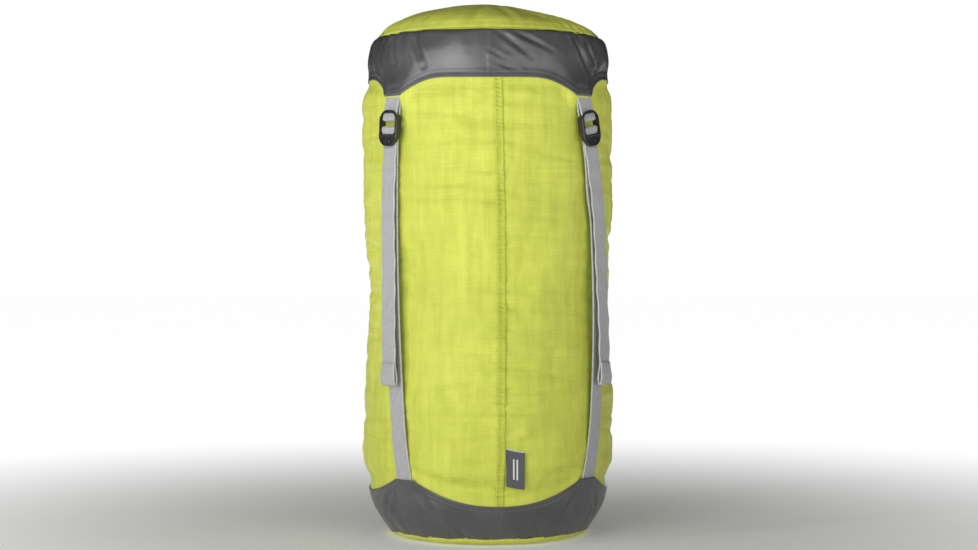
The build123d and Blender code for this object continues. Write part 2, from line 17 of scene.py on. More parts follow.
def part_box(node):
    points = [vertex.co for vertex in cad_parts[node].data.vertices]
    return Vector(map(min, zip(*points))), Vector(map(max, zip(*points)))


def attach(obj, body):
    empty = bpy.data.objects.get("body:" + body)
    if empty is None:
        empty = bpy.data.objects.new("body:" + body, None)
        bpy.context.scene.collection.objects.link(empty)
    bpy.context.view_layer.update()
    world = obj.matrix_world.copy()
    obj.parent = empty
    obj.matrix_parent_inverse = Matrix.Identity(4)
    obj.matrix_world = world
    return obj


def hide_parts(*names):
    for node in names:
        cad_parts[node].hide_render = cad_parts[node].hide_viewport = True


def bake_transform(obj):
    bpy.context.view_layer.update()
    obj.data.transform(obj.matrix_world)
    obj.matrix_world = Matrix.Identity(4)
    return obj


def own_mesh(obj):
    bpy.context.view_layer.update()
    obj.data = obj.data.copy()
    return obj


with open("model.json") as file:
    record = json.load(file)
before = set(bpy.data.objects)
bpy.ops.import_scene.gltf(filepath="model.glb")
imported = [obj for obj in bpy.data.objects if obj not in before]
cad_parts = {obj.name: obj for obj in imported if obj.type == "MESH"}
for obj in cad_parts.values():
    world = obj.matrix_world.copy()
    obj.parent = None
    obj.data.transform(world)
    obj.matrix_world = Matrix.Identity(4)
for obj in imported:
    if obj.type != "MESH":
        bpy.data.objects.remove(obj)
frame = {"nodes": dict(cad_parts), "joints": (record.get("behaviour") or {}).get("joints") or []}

MM = 0.001
NODES = frame["nodes"]
JOINTS = {joint["name"]: joint for joint in frame["joints"]}
CORNERS = ("front_left", "front_right", "back_left", "back_right")
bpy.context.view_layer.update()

# %% [markdown]
# ## Camera
#
# A sack this tall is best seen level, from its middle height and from well back,
# so that its sides stay upright. A lens of about 67 mm does that from two metres.

# %% Camera
scene = bpy.context.scene
scene.view_settings.view_transform = "Standard"
camera_data = bpy.data.cameras.new("Camera")
camera_data.sensor_width = 36
camera_data.lens = 66.9
camera = bpy.data.objects.new("Camera", camera_data)
camera.location = (0.001, -2.0, 0.283)
camera.rotation_euler = (math.pi / 2, 0, 0)
scene.collection.objects.link(camera)
scene.camera = camera
print("camera", tuple(camera.location))

# %% [markdown]
# ## How a material is built
#
# Every finish here is a Principled shader with a few nodes before it, and the studio's
# backdrop is a few nodes too. A small helper adds a node, sets its values and joins
# its inputs in one call, so that each finish below reads as a list of what is in it.

# %% Material helpers
def new_material(name, **sockets):
    """A material whose shader sockets are set by name."""
    material = bpy.data.materials.new(name)
    material.use_nodes = True
    shader = material.node_tree.nodes["Principled BSDF"]
    for socket, value in sockets.items():
        shader.inputs[socket.replace("_", " ")].default_value = value
    return material


def add_node(owner, kind, inputs, **settings):
    """A node with its settings, its values and its links, in a material or a world."""
    made = owner.node_tree.nodes.new(kind)
    for name, value in settings.items():
        setattr(made, name, value)
    for key, value in inputs.items():
        if isinstance(value, bpy.types.NodeSocket):
            owner.node_tree.links.new(value, made.inputs[key])
        else:
            made.inputs[key].default_value = value
    return made


def calc(material, operation, *values):
    """One step of arithmetic on sockets or numbers."""
    return add_node(material, "ShaderNodeMath", dict(enumerate(values)), operation=operation).outputs[0]


def times(material, *values):
    return calc(material, "MULTIPLY", *values)


def fade(material, value, low, high, at_low=0.0, at_high=1.0):
    """Maps a value from low..high to at_low..at_high, smoothly."""
    inputs = {"Value": value, 1: low, 2: high, 3: at_low, 4: at_high}
    return add_node(material, "ShaderNodeMapRange", inputs, interpolation_type="SMOOTHSTEP").outputs[0]


def drive(material, socket, value):
    """Links a value into one of the shader's sockets."""
    shader = material.node_tree.nodes["Principled BSDF"]
    material.node_tree.links.new(value, shader.inputs[socket])


def flat_pattern(material):
    """The two coordinates of a piece's flat pattern, in metres."""
    pattern = add_node(material, "ShaderNodeUVMap", {}, uv_map="flat")
    parts = add_node(material, "ShaderNodeSeparateXYZ", {0: pattern.outputs[0]})
    return parts.outputs[0], parts.outputs[1]


def cloud(material, scale, detail=2.0, stretch=None):
    """Soft noise in the piece's own place."""
    place = add_node(material, "ShaderNodeTexCoord", {}).outputs["Object"]
    if stretch:
        place = add_node(material, "ShaderNodeMapping", {0: place, 3: stretch}).outputs[0]
    inputs = {"Vector": place, "Scale": scale, "Detail": detail}
    return add_node(material, "ShaderNodeTexNoise", inputs).outputs[0]


def tint(material, share, low, high):
    """Mixes two colours into the shader's base colour."""
    inputs = {0: share, 6: (*low, 1), 7: (*high, 1)}
    drive(material, "Base Color", add_node(material, "ShaderNodeMix", inputs, data_type="RGBA").outputs[2])


def emboss(material, *layers):
    """Bump layers, each a (height socket, distance in metres, strength)."""
    normal = None
    for height, distance, strength in layers:
        inputs = {"Height": height, "Distance": distance, "Strength": strength}
        if normal:
            inputs["Normal"] = normal
        normal = add_node(material, "ShaderNodeBump", inputs).outputs[0]
    drive(material, "Normal", normal)


print("helpers ready")

# %% [markdown]
# ## Studio light
#
# Soft goods need one large soft light a little to the left, so that the sack turns
# darker to the right, and a weaker, larger one that fills the right side. A tall
# narrow one further round draws the satin streak on the coated bands. The world is
# white behind the sack. As a light it is dimmer, and comes mostly from the front.

# %% Lights
KEY_POWER = 24
STRIP_POWER = 6
FILL_POWER = 9
WORLD_LIGHT = 0.19
WORLD_FRONT = 0.36
WORLD_TOP = -0.15
WORLD_SEEN = 1.02
WHITE = (1, 1, 1, 1)


def add_light(name, place, target, size, power):
    """A soft light that faces a point."""
    data = bpy.data.lights.new(name, "AREA")
    data.shape = "RECTANGLE"
    data.size, data.size_y = size
    data.energy = power
    light = bpy.data.objects.new(name, data)
    light.location = place
    light.rotation_euler = (Vector(target) - Vector(place)).to_track_quat("-Z", "Y").to_euler()
    scene.collection.objects.link(light)


add_light("Key", (-1.15, -2.1, 0.5), (0, 0, 0.3), (1.2, 1.5), KEY_POWER)
add_light("Strip", (-1.33, -0.9, 0.32), (0, 0, 0.3), (0.09, 1.2), STRIP_POWER)
add_light("Fill", (1.35, -1.9, 0.35), (0, 0, 0.28), (1.6, 1.4), FILL_POWER)

world = bpy.data.worlds.new("Studio")
world.use_nodes = True
world.node_tree.nodes.clear()
scene.world = world
way = add_node(world, "ShaderNodeTexCoord", {}).outputs["Generated"]
weights = {0: way, 1: (0, -WORLD_FRONT, WORLD_TOP)}
weighed = add_node(world, "ShaderNodeVectorMath", weights, operation="DOT_PRODUCT").outputs["Value"]
strength = add_node(world, "ShaderNodeMath", {0: weighed, 1: WORLD_LIGHT}, operation="ADD", use_clamp=True)
lit = add_node(world, "ShaderNodeBackground", {"Color": WHITE, "Strength": strength.outputs[0]})
seen = add_node(world, "ShaderNodeBackground", {"Color": WHITE, "Strength": WORLD_SEEN})
rays = add_node(world, "ShaderNodeLightPath", {}).outputs["Is Camera Ray"]
chosen = add_node(world, "ShaderNodeMixShader", {0: rays, 1: lit.outputs[0], 2: seen.outputs[0]})
add_node(world, "ShaderNodeOutputWorld", {"Surface": chosen.outputs[0]})
print("lights", KEY_POWER, STRIP_POWER, WORLD_LIGHT)

# %% [markdown]
# ## Lime ripstop
#
# Ripstop nylon has a heavier thread every few millimetres, both ways, so it shows
# a faint square grid. The grid is drawn in the cloth's flat pattern, which follows
# the surface, and also raises the surface a little. Fine upright streaks and two
# sizes of cloud keep the colour from being one flat tone, and a stretched cloud
# creases the cloth level, as cloth does that is pressed down from above.

# %% Ripstop
RIPSTOP_PITCH = 4.2 * MM
GRID_TONE = 0.13


def ripstop(name, dark, light):
    """Lime ripstop nylon in one strength of colour."""
    material = new_material(name, Roughness=0.55, Sheen_Weight=0.03, Specular_IOR_Level=0.22)
    across, along = flat_pattern(material)
    lines = []
    for way in (across, along):
        from_thread = calc(material, "PINGPONG", way, RIPSTOP_PITCH / 2)
        lines.append(fade(material, from_thread, 0.25 * MM, 0.75 * MM, 1.0, 0.0))
    grid = calc(material, "MAXIMUM", *lines)
    broad = cloud(material, 11.0)
    fine = cloud(material, 90.0, 3.0, (1, 1, 0.4))
    streaks = cloud(material, 130.0, 2.0, (1, 1, 0.08))
    clouds = calc(material, "ADD", calc(material, "ADD", broad, fine), streaks)
    tone = fade(material, times(material, clouds, 0.333), 0.3, 0.7)
    tone = calc(material, "SUBTRACT", tone, times(material, grid, GRID_TONE))
    tint(material, calc(material, "MAXIMUM", tone, 0.0), dark, light)
    crinkle = cloud(material, 55.0, 3.0, (0.6, 0.6, 1.5))
    level = cloud(material, 24.0, 4.0, (0.45, 0.45, 3.2))
    emboss(material, (level, 4 * MM, 0.4), (crinkle, 2.2 * MM, 0.3), (grid, 0.12 * MM, 0.18))
    return material


LIME = ripstop("lime ripstop", (0.52, 0.562, 0.076), (0.67, 0.717, 0.112))
# Painted shade: the seam strip gets a darker copy of the lime ripstop, for the dark valley of its puckered
# seam.
LIME_SEAM_SHADE = ripstop("lime seam painted shade", (0.42, 0.47, 0.05), (0.58, 0.64, 0.09))
print(LIME.name, LIME_SEAM_SHADE.name)

# %% [markdown]
# ## Grey coated nylon
#
# The lid's skirt and the base band are coated, so they have a satin sheen: darker
# and smoother than the body, with a tight weave under the coating. Its roughness
# wanders a little, as a coating's does where it has been folded.

# %% Coated nylon
COATED_THREAD = 11000.0
COATED = new_material("grey coated nylon", Specular_IOR_Level=0.8, Coat_Weight=0.12, Coat_Roughness=0.35)
across, along = flat_pattern(COATED)
threads = [calc(COATED, "SINE", times(COATED, way, COATED_THREAD)) for way in (across, along)]
scuffs = cloud(COATED, 38.0, 4.0, (1, 1, 0.6))
tint(COATED, fade(COATED, scuffs, 0.3, 0.72), (0.058, 0.059, 0.061), (0.082, 0.083, 0.085))
drive(COATED, "Roughness", fade(COATED, cloud(COATED, 16.0, 3.0), 0.3, 0.7, 0.28, 0.39))
creases = cloud(COATED, 75.0, 4.0, (0.7, 0.7, 1.3))
emboss(COATED, (creases, 1.2 * MM, 0.35), (times(COATED, *threads), 0.02 * MM, 0.5))
print(COATED.name)

# %% [markdown]
# ## Webbing
#
# Strap webbing is woven in ribs across its width, with a plain selvedge down each
# edge. The ribs come from a sine along the strip, bent into a shallow chevron
# by the distance from its middle. The grooves between the ribs and beside each
# selvedge are painted darker: painted shade.

# %% Webbing
WEBBING_WIDTH = 20 * MM
RIB_PITCH = 1.5 * MM
CHEVRON_WIDTH = 2.5 * MM
SELVEDGE = 8.4 * MM


def webbing_finish(name, dark, light):
    """Ribbed strap webbing, for a strip whose pattern is 20 mm wide."""
    material = new_material(name, Roughness=0.62, Sheen_Weight=0.15, Specular_IOR_Level=0.3)
    across, along = flat_pattern(material)
    from_middle = calc(material, "ABSOLUTE", calc(material, "SUBTRACT", across, WEBBING_WIDTH / 2))
    zigzag = times(material, calc(material, "PINGPONG", across, CHEVRON_WIDTH), 0.6)
    chevron = calc(material, "ADD", along, zigzag)
    ribs = calc(material, "SINE", times(material, chevron, 2 * math.pi / RIB_PITCH))
    ribs = fade(material, ribs, -1.0, 1.0)
    selvedge = fade(material, from_middle, SELVEDGE, SELVEDGE + 0.5 * MM)
    ribs = calc(material, "MAXIMUM", ribs, selvedge)
    from_selvedge = calc(material, "ABSOLUTE", calc(material, "SUBTRACT", from_middle, SELVEDGE))
    raised = times(material, ribs, fade(material, from_selvedge, 0.0, 0.4 * MM))
    lint = cloud(material, 240.0, 3.0)
    # Colour: the low parts of the ribs and the line beside each selvedge are painted darker, as painted
    # shade; the lint adds random tone.
    tint(material, times(material, raised, fade(material, lint, 0.2, 0.7, 0.55, 1.0)), dark, light)
    emboss(material, (raised, 0.22 * MM, 0.7), (lint, 0.15 * MM, 0.3))
    return material


WEBBING = webbing_finish("grey webbing", (0.30, 0.30, 0.305), (0.56, 0.56, 0.565))
print(WEBBING.name)

# %% [markdown]
# ## Plastic, cord, steel, label and thread
#
# The small finishes. Moulded plastic is black with a slight grain, the cord is
# braided, with painted shade in the gaps between its strands, the spring is drawn
# steel. The label is woven dark grey with a painted highlight along its top edge
# and two plain light bars. Threads are a twist of two strands.

# %% Small finishes
PLASTIC = new_material("black moulded plastic", Specular_IOR_Level=0.55, Coat_Weight=0.15, Coat_Roughness=0.2)
mould = cloud(PLASTIC, 900.0, 3.0)
tint(PLASTIC, cloud(PLASTIC, 60.0), (0.010, 0.010, 0.011), (0.022, 0.022, 0.024))
drive(PLASTIC, "Roughness", fade(PLASTIC, cloud(PLASTIC, 120.0, 3.0), 0.3, 0.7, 0.20, 0.34))
emboss(PLASTIC, (mould, 0.05 * MM, 0.25))

CORD = new_material("black braided cord", Roughness=0.7, Sheen_Weight=0.2)
place = add_node(CORD, "ShaderNodeTexCoord", {}).outputs["Object"]
braid = add_node(CORD, "ShaderNodeTexVoronoi", {"Vector": place, "Scale": 850.0}).outputs["Distance"]
# Painted shade: the gaps between the braid's strands are darker than the strands' tops.
tint(CORD, fade(CORD, braid, 0.1, 0.7, 1.0, 0.0), (0.008, 0.008, 0.009), (0.045, 0.045, 0.048))
emboss(CORD, (fade(CORD, braid, 0.0, 0.8, 1.0, 0.0), 0.4 * MM, 0.8))

STEEL = new_material("spring steel", Metallic=1.0, Roughness=0.3)
drawn = cloud(STEEL, 700.0, 3.0, (0.2, 1, 1))
tint(STEEL, drawn, (0.42, 0.42, 0.43), (0.66, 0.66, 0.67))
emboss(STEEL, (drawn, 0.05 * MM, 0.3))


def thread_finish(name, colour):
    """Sewing thread: a fine twist over one colour."""
    material = new_material(name, Roughness=0.55, Sheen_Weight=0.1)
    twist = cloud(material, 1800.0, 2.0)
    tint(material, twist, [part * 0.7 for part in colour], [min(part * 1.25, 0.9) for part in colour])
    emboss(material, (twist, 0.08 * MM, 0.5))
    return material


GREY_THREAD = thread_finish("grey thread", (0.20, 0.20, 0.205))
PALE_THREAD = thread_finish("pale thread", (0.42, 0.42, 0.42))
LIME_THREAD = thread_finish("lime thread", (0.52, 0.58, 0.09))
print(PLASTIC.name, CORD.name, STEEL.name)

# %% Woven label
LABEL_WIDTH = 19 * MM
LABEL_HEIGHT = 39 * MM
LABEL_THREAD = 0.55 * MM
BAR_LEFTS = (7.0 * MM, 10.6 * MM)
BAR_WIDTH = 1.6 * MM
LABEL = new_material("woven label", Roughness=0.65, Sheen_Weight=0.1)
across, along = flat_pattern(LABEL)
thread_share = 2 * math.pi / LABEL_THREAD
threads = [calc(LABEL, "SINE", times(LABEL, way, thread_share)) for way in (across, along)]
weave = fade(LABEL, times(LABEL, *threads), -1.0, 1.0)


def between(material, value, low, high):
    """1 where a value is between low and high, and 0 elsewhere."""
    above = calc(material, "GREATER_THAN", value, low)
    return times(material, above, calc(material, "LESS_THAN", value, high))


bars = [between(LABEL, across, left, left + BAR_WIDTH) for left in BAR_LEFTS]
bars = times(LABEL, calc(LABEL, "ADD", *bars), between(LABEL, along, 9 * MM, 30 * MM))
# Painted highlight: a light strip along the label's folded top edge.
edge = calc(LABEL, "GREATER_THAN", along, LABEL_HEIGHT - 0.9 * MM)
tint(LABEL, calc(LABEL, "MAXIMUM", bars, edge), (0.085, 0.087, 0.092), (0.72, 0.72, 0.72))
emboss(LABEL, (weave, 0.1 * MM, 0.6), (bars, 0.15 * MM, 0.6))
print(LABEL.name)

# %% [markdown]
# ## Cloth from a grid
#
# A cloth piece starts as a flat grid, which is also its cutting pattern, so each
# corner of the grid keeps its flat place as a UV in metres. Then every point is
# moved to where the sewn cloth lies. Azimuth 0 is the front, and grows to the right.

# %% Shape helpers
def around(radius, azimuth, height):
    """A point at a radius, azimuth and height."""
    turn = math.radians(azimuth)
    return Vector((radius * math.sin(turn), -radius * math.cos(turn), height))


def wrapped(angle):
    """An angle brought to -180..180 degrees."""
    return (angle + 180) % 360 - 180


def ease(value, low, high):
    """0 below low, 1 above high and smooth between."""
    share = min(max((value - low) / (high - low), 0), 1)
    return share * share * (3 - 2 * share)


def ridge(value, centre, width):
    """A smooth hill, 1 at its centre."""
    return math.exp(-(((value - centre) / width) ** 2))


def uneven(azimuth, height, across, along, seed):
    """Seeded smooth noise round the sack, with waves of about these sizes in metres."""
    turn = math.radians(azimuth)
    reach = 0.135 / across
    place = Vector((math.sin(turn) * reach, math.cos(turn) * reach, height / along))
    return noise.noise(place + Vector((7.3, 3.1, 5.7)) * seed)


def make_piece(name, bm, material):
    """Turns a bmesh into a shown piece with one material."""
    mesh = bpy.data.meshes.new(name)
    bm.to_mesh(mesh)
    bm.free()
    mesh.materials.append(material)
    mesh.shade_smooth()
    piece = bpy.data.objects.new(name, mesh)
    scene.collection.objects.link(piece)
    return piece


def cloth_grid(name, material, columns, rows, flat, place):
    """A grid of cloth: place(across, along) gives each point from its shares of the flat pattern."""
    bm = bmesh.new()
    pattern = bm.loops.layers.uv.new("flat")
    bmesh.ops.create_grid(bm, x_segments=columns, y_segments=rows, size=0.5)
    for face in bm.faces:
        for loop in face.loops:
            share = loop.vert.co
            loop[pattern].uv = ((share.x + 0.5) * flat[0], (share.y + 0.5) * flat[1])
    for vert in bm.verts:
        vert.co = place(vert.co.x + 0.5, vert.co.y + 0.5)
    bmesh.ops.remove_doubles(bm, verts=bm.verts, dist=0.002 * MM)
    return make_piece(name, bm, material)


def thicken(piece, thickness, offset):
    """Gives a cloth piece its thickness, as a live modifier."""
    solidify = piece.modifiers.new("Thickness", "SOLIDIFY")
    solidify.thickness = thickness
    solidify.offset = offset


def dress(piece, body, node):
    """Says which body a piece moves with, and hides the CAD node it stands for."""
    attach(piece, body)
    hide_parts(node)


def round_pattern(piece, stretch, centre, turn):
    """The flat pattern of a round panel is the panel seen from straight above or below."""
    pattern = piece.data.uv_layers["flat"]
    for loop in piece.data.loops:
        spot = piece.data.vertices[loop.vertex_index].co
        pattern.data[loop.index].uv = (spot.x * stretch + centre, spot.y * stretch * turn + centre)


print("shape helpers ready")

# %% [markdown]
# ## Measuring the frame
#
# The plain CAD wall and bands give the profile that the cloth follows, and the CAD
# straps give the line that each strap takes. Both are read from the node's mesh.

# %% Profiles and strap lines
def outer_profile(node, spread):
    """The outer radius of a round CAD node against its height, smoothed over a spread."""
    known = {}
    for vert in NODES[node].data.vertices:
        out = Vector((vert.co.x, vert.co.y, 0))
        if vert.normal.dot(out.normalized()) > 0.3:
            level = round(vert.co.z / MM, 1)
            known[level] = max(known.get(level, 0.0), out.length)
    levels = sorted(known)
    at = np.linspace(levels[0], levels[-1], 401)
    values = np.interp(at, levels, [known[level] for level in levels])
    reach = round(spread / MM / (at[1] - at[0]))
    kernel = np.hanning(2 * reach + 3)
    padded = np.pad(values, reach + 1, mode="reflect", reflect_type="odd")
    smooth = np.convolve(padded, kernel / kernel.sum(), mode="valid")
    return lambda height: float(np.interp(height / MM, at, smooth))


def centre_line(node):
    """Points up the middle of a CAD strap, one for each of its sections."""
    points = sorted((vert.co.copy() for vert in NODES[node].data.vertices), key=lambda point: point.z)
    groups = [[points[0]]]
    for point in points[1:]:
        if point.z - groups[-1][-1].z > 4.2 * MM:
            groups.append([])
        groups[-1].append(point)
    return [sum(group, Vector()) / len(group) for group in groups]


def azimuth_of(point):
    return math.degrees(math.atan2(point.x, -point.y))


wall_radius = outer_profile("sack_body", 9 * MM)
skirt_radius = outer_profile("lid_band", 3 * MM)
STRAP_LINES = {}
for corner in CORNERS:
    line = centre_line(f"strap_run_{corner}")
    STRAP_LINES[corner] = (
        [point.z for point in line],
        [azimuth_of(point) for point in line],
        [math.hypot(point.x, point.y) for point in line],
    )
    print(corner, len(line), "points, first at", [round(part, 3) for part in line[0]])
print("wall", [round(wall_radius(z / 100), 4) for z in range(2, 50, 6)])


def strap_azimuth(corner, height):
    return float(np.interp(height, STRAP_LINES[corner][0], STRAP_LINES[corner][1]))


def strap_radius(corner, height):
    return float(np.interp(height, STRAP_LINES[corner][0], STRAP_LINES[corner][2]))


# %% [markdown]
# ## The stuffed wall
#
# A full sack isn't a cylinder. The straps press into it, the filling makes soft
# lumps, and pulling the lid down leaves more cloth than height, which buckles into
# level wrinkles. The lumps, the strap dents and the longest folds are placed.
# The small wrinkles come from a cloth simulation: the cloth is cut a few percent
# taller than the room it has, held at its seams and straps, and blown out gently.

# %% Wall folds
SEAM_AZIMUTH = 5.5
# Millimetres of cloth in one degree round the sack, on the wall and on the bands
WALL_DEGREE = 2.35
BAND_DEGREE = 2.3


def seam_line(height):
    """The front seam's azimuth: it isn't quite straight, because the lid pulls it aside."""
    return SEAM_AZIMUTH - 0.9 * ease(height, 0.33, 0.49) + 0.8 * ridge(height, 0.25, 0.1)


WALL_LOW = 8.6 * MM
WALL_HIGH = 500 * MM
# Folds: azimuth and height of each end, depth and width in millimetres
FOLDS = [
    (-37, 77, 0, 60, 2.2, 5.0),
    (22, 72, 50, 82, 1.6, 5.0),
    (-50, 92, -78, 100, 1.4, 4.5),
    (-49, 108, -80, 118, 1.0, 4.5),
    (54, 96, 84, 90, 1.2, 4.5),
    (-42, 312, -30, 314, 1.8, 3.5),
    (-42, 290, -30, 286, 2.0, 3.5),
    (52, 304, 40, 306, 1.8, 3.5),
    (8, 160, 30, 166, 0.9, 5.0),
    (8, 128, 36, 131, 0.8, 5.0),
    (-30, 150, 2, 146, 0.9, 6.0),
    (-24, 128, 2, 124, 0.8, 5.0),
    (-20, 205, 2, 202, 0.8, 5.0),
    (-40, 196, -28, 200, 0.9, 4.0),
    (55, 160, 84, 166, 1.0, 5.0),
    (52, 236, 78, 240, 0.9, 5.0),
    (128, 250, 152, 246, 1.6, 4.5),
    (-122, 196, -152, 204, 1.6, 4.5),
    (150, 140, 196, 148, 1.2, 6.0),
    (160, 330, 200, 322, 1.2, 6.0),
    (140, 84, 215, 66, 2.0, 5.5),
]
# Pinches seen against the light at the sides: azimuth, height, depth, reach in degrees, half height
PINCHES = [
    (-90, 452, 2.0, 20, 5),
    (-92, 418, 1.8, 16, 4),
    (-88, 352, 1.6, 20, 4),
    (-90, 335, 1.2, 14, 3.5),
    (-90, 291, 1.8, 18, 4),
    (-90, 264, 1.4, 16, 4),
    (-90, 190, 1.2, 18, 5),
    (-90, 128, 1.4, 18, 5),
    (90, 412, 2.0, 20, 5),
    (92, 325, 1.8, 18, 5),
    (90, 255, 2.2, 22, 6),
    (90, 170, 1.4, 18, 5),
    (88, 118, 1.2, 16, 5),
    (180, 400, 1.6, 20, 5),
    (176, 290, 1.6, 24, 5),
    (184, 215, 1.4, 20, 5),
]


def fold_depth(azimuth, height):
    """How deep the listed folds and pinches are at a place."""
    depth = 0.0
    for first, low, last, high, deep, width in FOLDS:
        reach = last - first
        share = min(max(wrapped(azimuth - first) / reach, 0), 1)
        aside = wrapped(azimuth - first - reach * share) * WALL_DEGREE
        apart = math.hypot(aside, height / MM - (low + (high - low) * share))
        if apart < 4 * width:
            fading = 0.35 + 0.65 * math.sin(math.pi * min(max(share, 0.08), 0.92))
            depth += 1.5 * deep * fading * (ridge(apart, 0, width) - 0.45 * ridge(apart, 1.9 * width, width))
    for centre, level, deep, reach, half in PINCHES:
        aside = wrapped(azimuth - centre)
        if abs(aside) < 3 * reach:
            bend = 2.5 * math.sin(aside * 0.09 + level)
            off = height / MM - level - bend
            lips = sum(ridge(off, side * half, 1.4 * half) for side in (2.2, -2.2))
            depth += deep * ridge(aside, 0, reach) * (ridge(off, 0, half) - 0.4 * lips)
    return depth * MM


def strap_pull(azimuth, height):
    """How far the straps press the wall in."""
    pull = 0.0
    for corner in CORNERS:
        aside = wrapped(azimuth - strap_azimuth(corner, height)) * WALL_DEGREE * MM
        pull += (1.7 - 1.1 * ridge(height, 0.258, 0.12)) * MM * ridge(aside, 0, 15 * MM)
    return pull


def sack_shape(azimuth, height):
    """The stuffed wall's radius before its small wrinkles."""
    radius = wall_radius(height)
    inside = ease(height, 0.03, 0.09) * (1 - ease(height, 0.488, 0.5))
    lumps = 2.6 * uneven(azimuth, height, 0.11, 0.085, 1) + 1.5 * uneven(azimuth, height, 0.06, 0.03, 2)
    panel = 1.3 * math.sin(math.radians(2 * (azimuth - SEAM_AZIMUTH))) ** 2
    seam = 0.8 * ridge(wrapped(azimuth - seam_line(height)), 0, 1.6)
    seam -= 2.6 * math.exp(-abs(wrapped(azimuth - seam_line(height))) / 11)
    radius += inside * ((lumps - 1.0 * panel + 0.6 - seam) * MM)
    radius -= inside * strap_pull(azimuth, height)
    radius -= inside * fold_depth(azimuth, height)
    return radius + 1.5 * MM * ridge(height, 0.482, 0.012)


def wall_place(across, along):
    azimuth = SEAM_AZIMUTH + 180 + 360 * across
    height = WALL_LOW + (WALL_HIGH - WALL_LOW) * along
    return around(sack_shape(azimuth, height), azimuth, height)


WALL_FLAT = (0.848, 0.505)
sack_wall = cloth_grid("sack_wall", LIME, 160, 120, WALL_FLAT, wall_place)
print("wall", len(sack_wall.data.vertices), "points")

# %% [markdown]
# The simulation is kept small: a coarse mesh, a few steps and no collisions.
# A shape key holds the taller cut, and the cloth takes its rest lengths from it.
# Points near the hems, straps and the front seam are held, and no point may move
# further than a few millimetres, so the sack keeps its measured size.

# %% Wall simulation
SIM_STEPS = 16
EXTRA_HEIGHT = 1.07
MOST_MOVE = 4.0 * MM


def held_share(point):
    """How firmly a point of the wall is held: 1 at the hems, less at the straps and seam."""
    if point.z < 0.03 or point.z > 0.488:
        return 1.0
    azimuth = azimuth_of(point)
    held = 0.55 * ridge(wrapped(azimuth - seam_line(point.z)), 0, 1.8)
    for corner in CORNERS:
        held = max(held, 0.75 * ridge(wrapped(azimuth - strap_azimuth(corner, point.z)), 0, 4.5))
    return held


def wrinkle(piece):
    """Runs the cloth simulation on a piece and keeps its result as plain mesh."""
    start = [vert.co.copy() for vert in piece.data.vertices]
    pins = piece.vertex_groups.new(name="held")
    for vert in piece.data.vertices:
        pins.add([vert.index], held_share(vert.co), "REPLACE")
    piece.shape_key_add(name="Basis")
    cut = piece.shape_key_add(name="cut")
    for vert, key in zip(piece.data.vertices, cut.data):
        key.co = vert.co * 1.0
        key.co.z = vert.co.z * EXTRA_HEIGHT
    cut.value = 0.0
    cloth = piece.modifiers.new("Cloth", "CLOTH")
    settings = cloth.settings
    settings.rest_shape_key = cut
    settings.quality = 5
    settings.mass = 0.15
    settings.tension_stiffness = 25
    settings.compression_stiffness = 25
    settings.shear_stiffness = 8
    settings.bending_stiffness = 0.02
    settings.vertex_group_mass = "held"
    settings.use_pressure = True
    settings.uniform_pressure_force = 1.2
    settings.effector_weights.gravity = 0
    cloth.collision_settings.use_collision = False
    cloth.collision_settings.use_self_collision = False
    cloth.point_cache.frame_start = 1
    cloth.point_cache.frame_end = SIM_STEPS
    for step in range(1, SIM_STEPS + 1):
        scene.frame_set(step)
    done = piece.evaluated_get(bpy.context.evaluated_depsgraph_get())
    moved = [vert.co.copy() for vert in done.data.vertices]
    piece.modifiers.remove(cloth)
    piece.shape_key_clear()
    piece.vertex_groups.clear()
    scene.frame_set(1)
    most = 0.0
    for vert, old, new in zip(piece.data.vertices, start, moved):
        move = new - old
        most = max(most, move.length)
        if move.length > MOST_MOVE:
            move *= MOST_MOVE / move.length
        vert.co = old + move
    piece.data.update()
    print("simulated", piece.name, "furthest move", round(most / MM, 2), "mm")


wrinkle(sack_wall)

# %% [markdown]
# ## The lid's skirt
#
# The skirt is a band of coated nylon. Its hem rises in four arches and drops to
# four tabs, where the webbing is sewn. It is a grid again, whose lower edge follows
# the arches. Folds, pleats under the top seam and the doubled hem are set as heights
# on the band, and one function gives the surface to both the cloth and its stitches.

# %% Lid skirt
LID_LOW, LID_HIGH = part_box("lid_band")
LID_PLEATS = ((-50, 10), (47, 9), (-134, 12), (133, 11), (95, 6), (-88, 7), (178, 12))
LID_FOLDS = [
    (4, 536, 20, 508, 1.3, 3.2),
    (9, 538, 30, 516, 1.0, 2.8),
    (2, 505, 14, 492, 1.0, 2.6),
    (1, 514, 12, 499, 0.8, 2.4),
    (-38, 536, -30, 500, 1.6, 4.0),
    (-52, 534, -47, 506, 1.5, 3.0),
    (44, 532, 52, 500, 1.4, 3.0),
    (52, 530, 58, 508, 1.2, 2.8),
    (72, 534, 60, 502, 1.3, 4.0),
    (-72, 536, -62, 500, 1.2, 4.0),
    (110, 536, 124, 504, 1.4, 4.0),
    (150, 538, 168, 508, 1.3, 3.5),
    (190, 512, 206, 494, 1.0, 3.0),
    (-128, 536, -118, 502, 1.4, 3.5),
    (-160, 534, -150, 510, 1.2, 3.5),
]


def fold_relief(folds, azimuth, height):
    """Straight folds on a band: a valley between two low lips."""
    relief = 0.0
    for first, low, last, high, deep, width in folds:
        run = (last - first) * BAND_DEGREE
        climb = high - low
        aside = wrapped(azimuth - first) * BAND_DEGREE
        above = height / MM - low
        share = min(max((aside * run + above * climb) / (run * run + climb * climb), 0), 1)
        apart = math.hypot(aside - run * share, above - climb * share)
        if apart < 4 * width:
            fading = math.sin(math.pi * min(max(share, 0.12), 0.88))
            relief += deep * fading * (0.5 * ridge(apart, 1.8 * width, width) - ridge(apart, 0, width))
    return 1.4 * relief


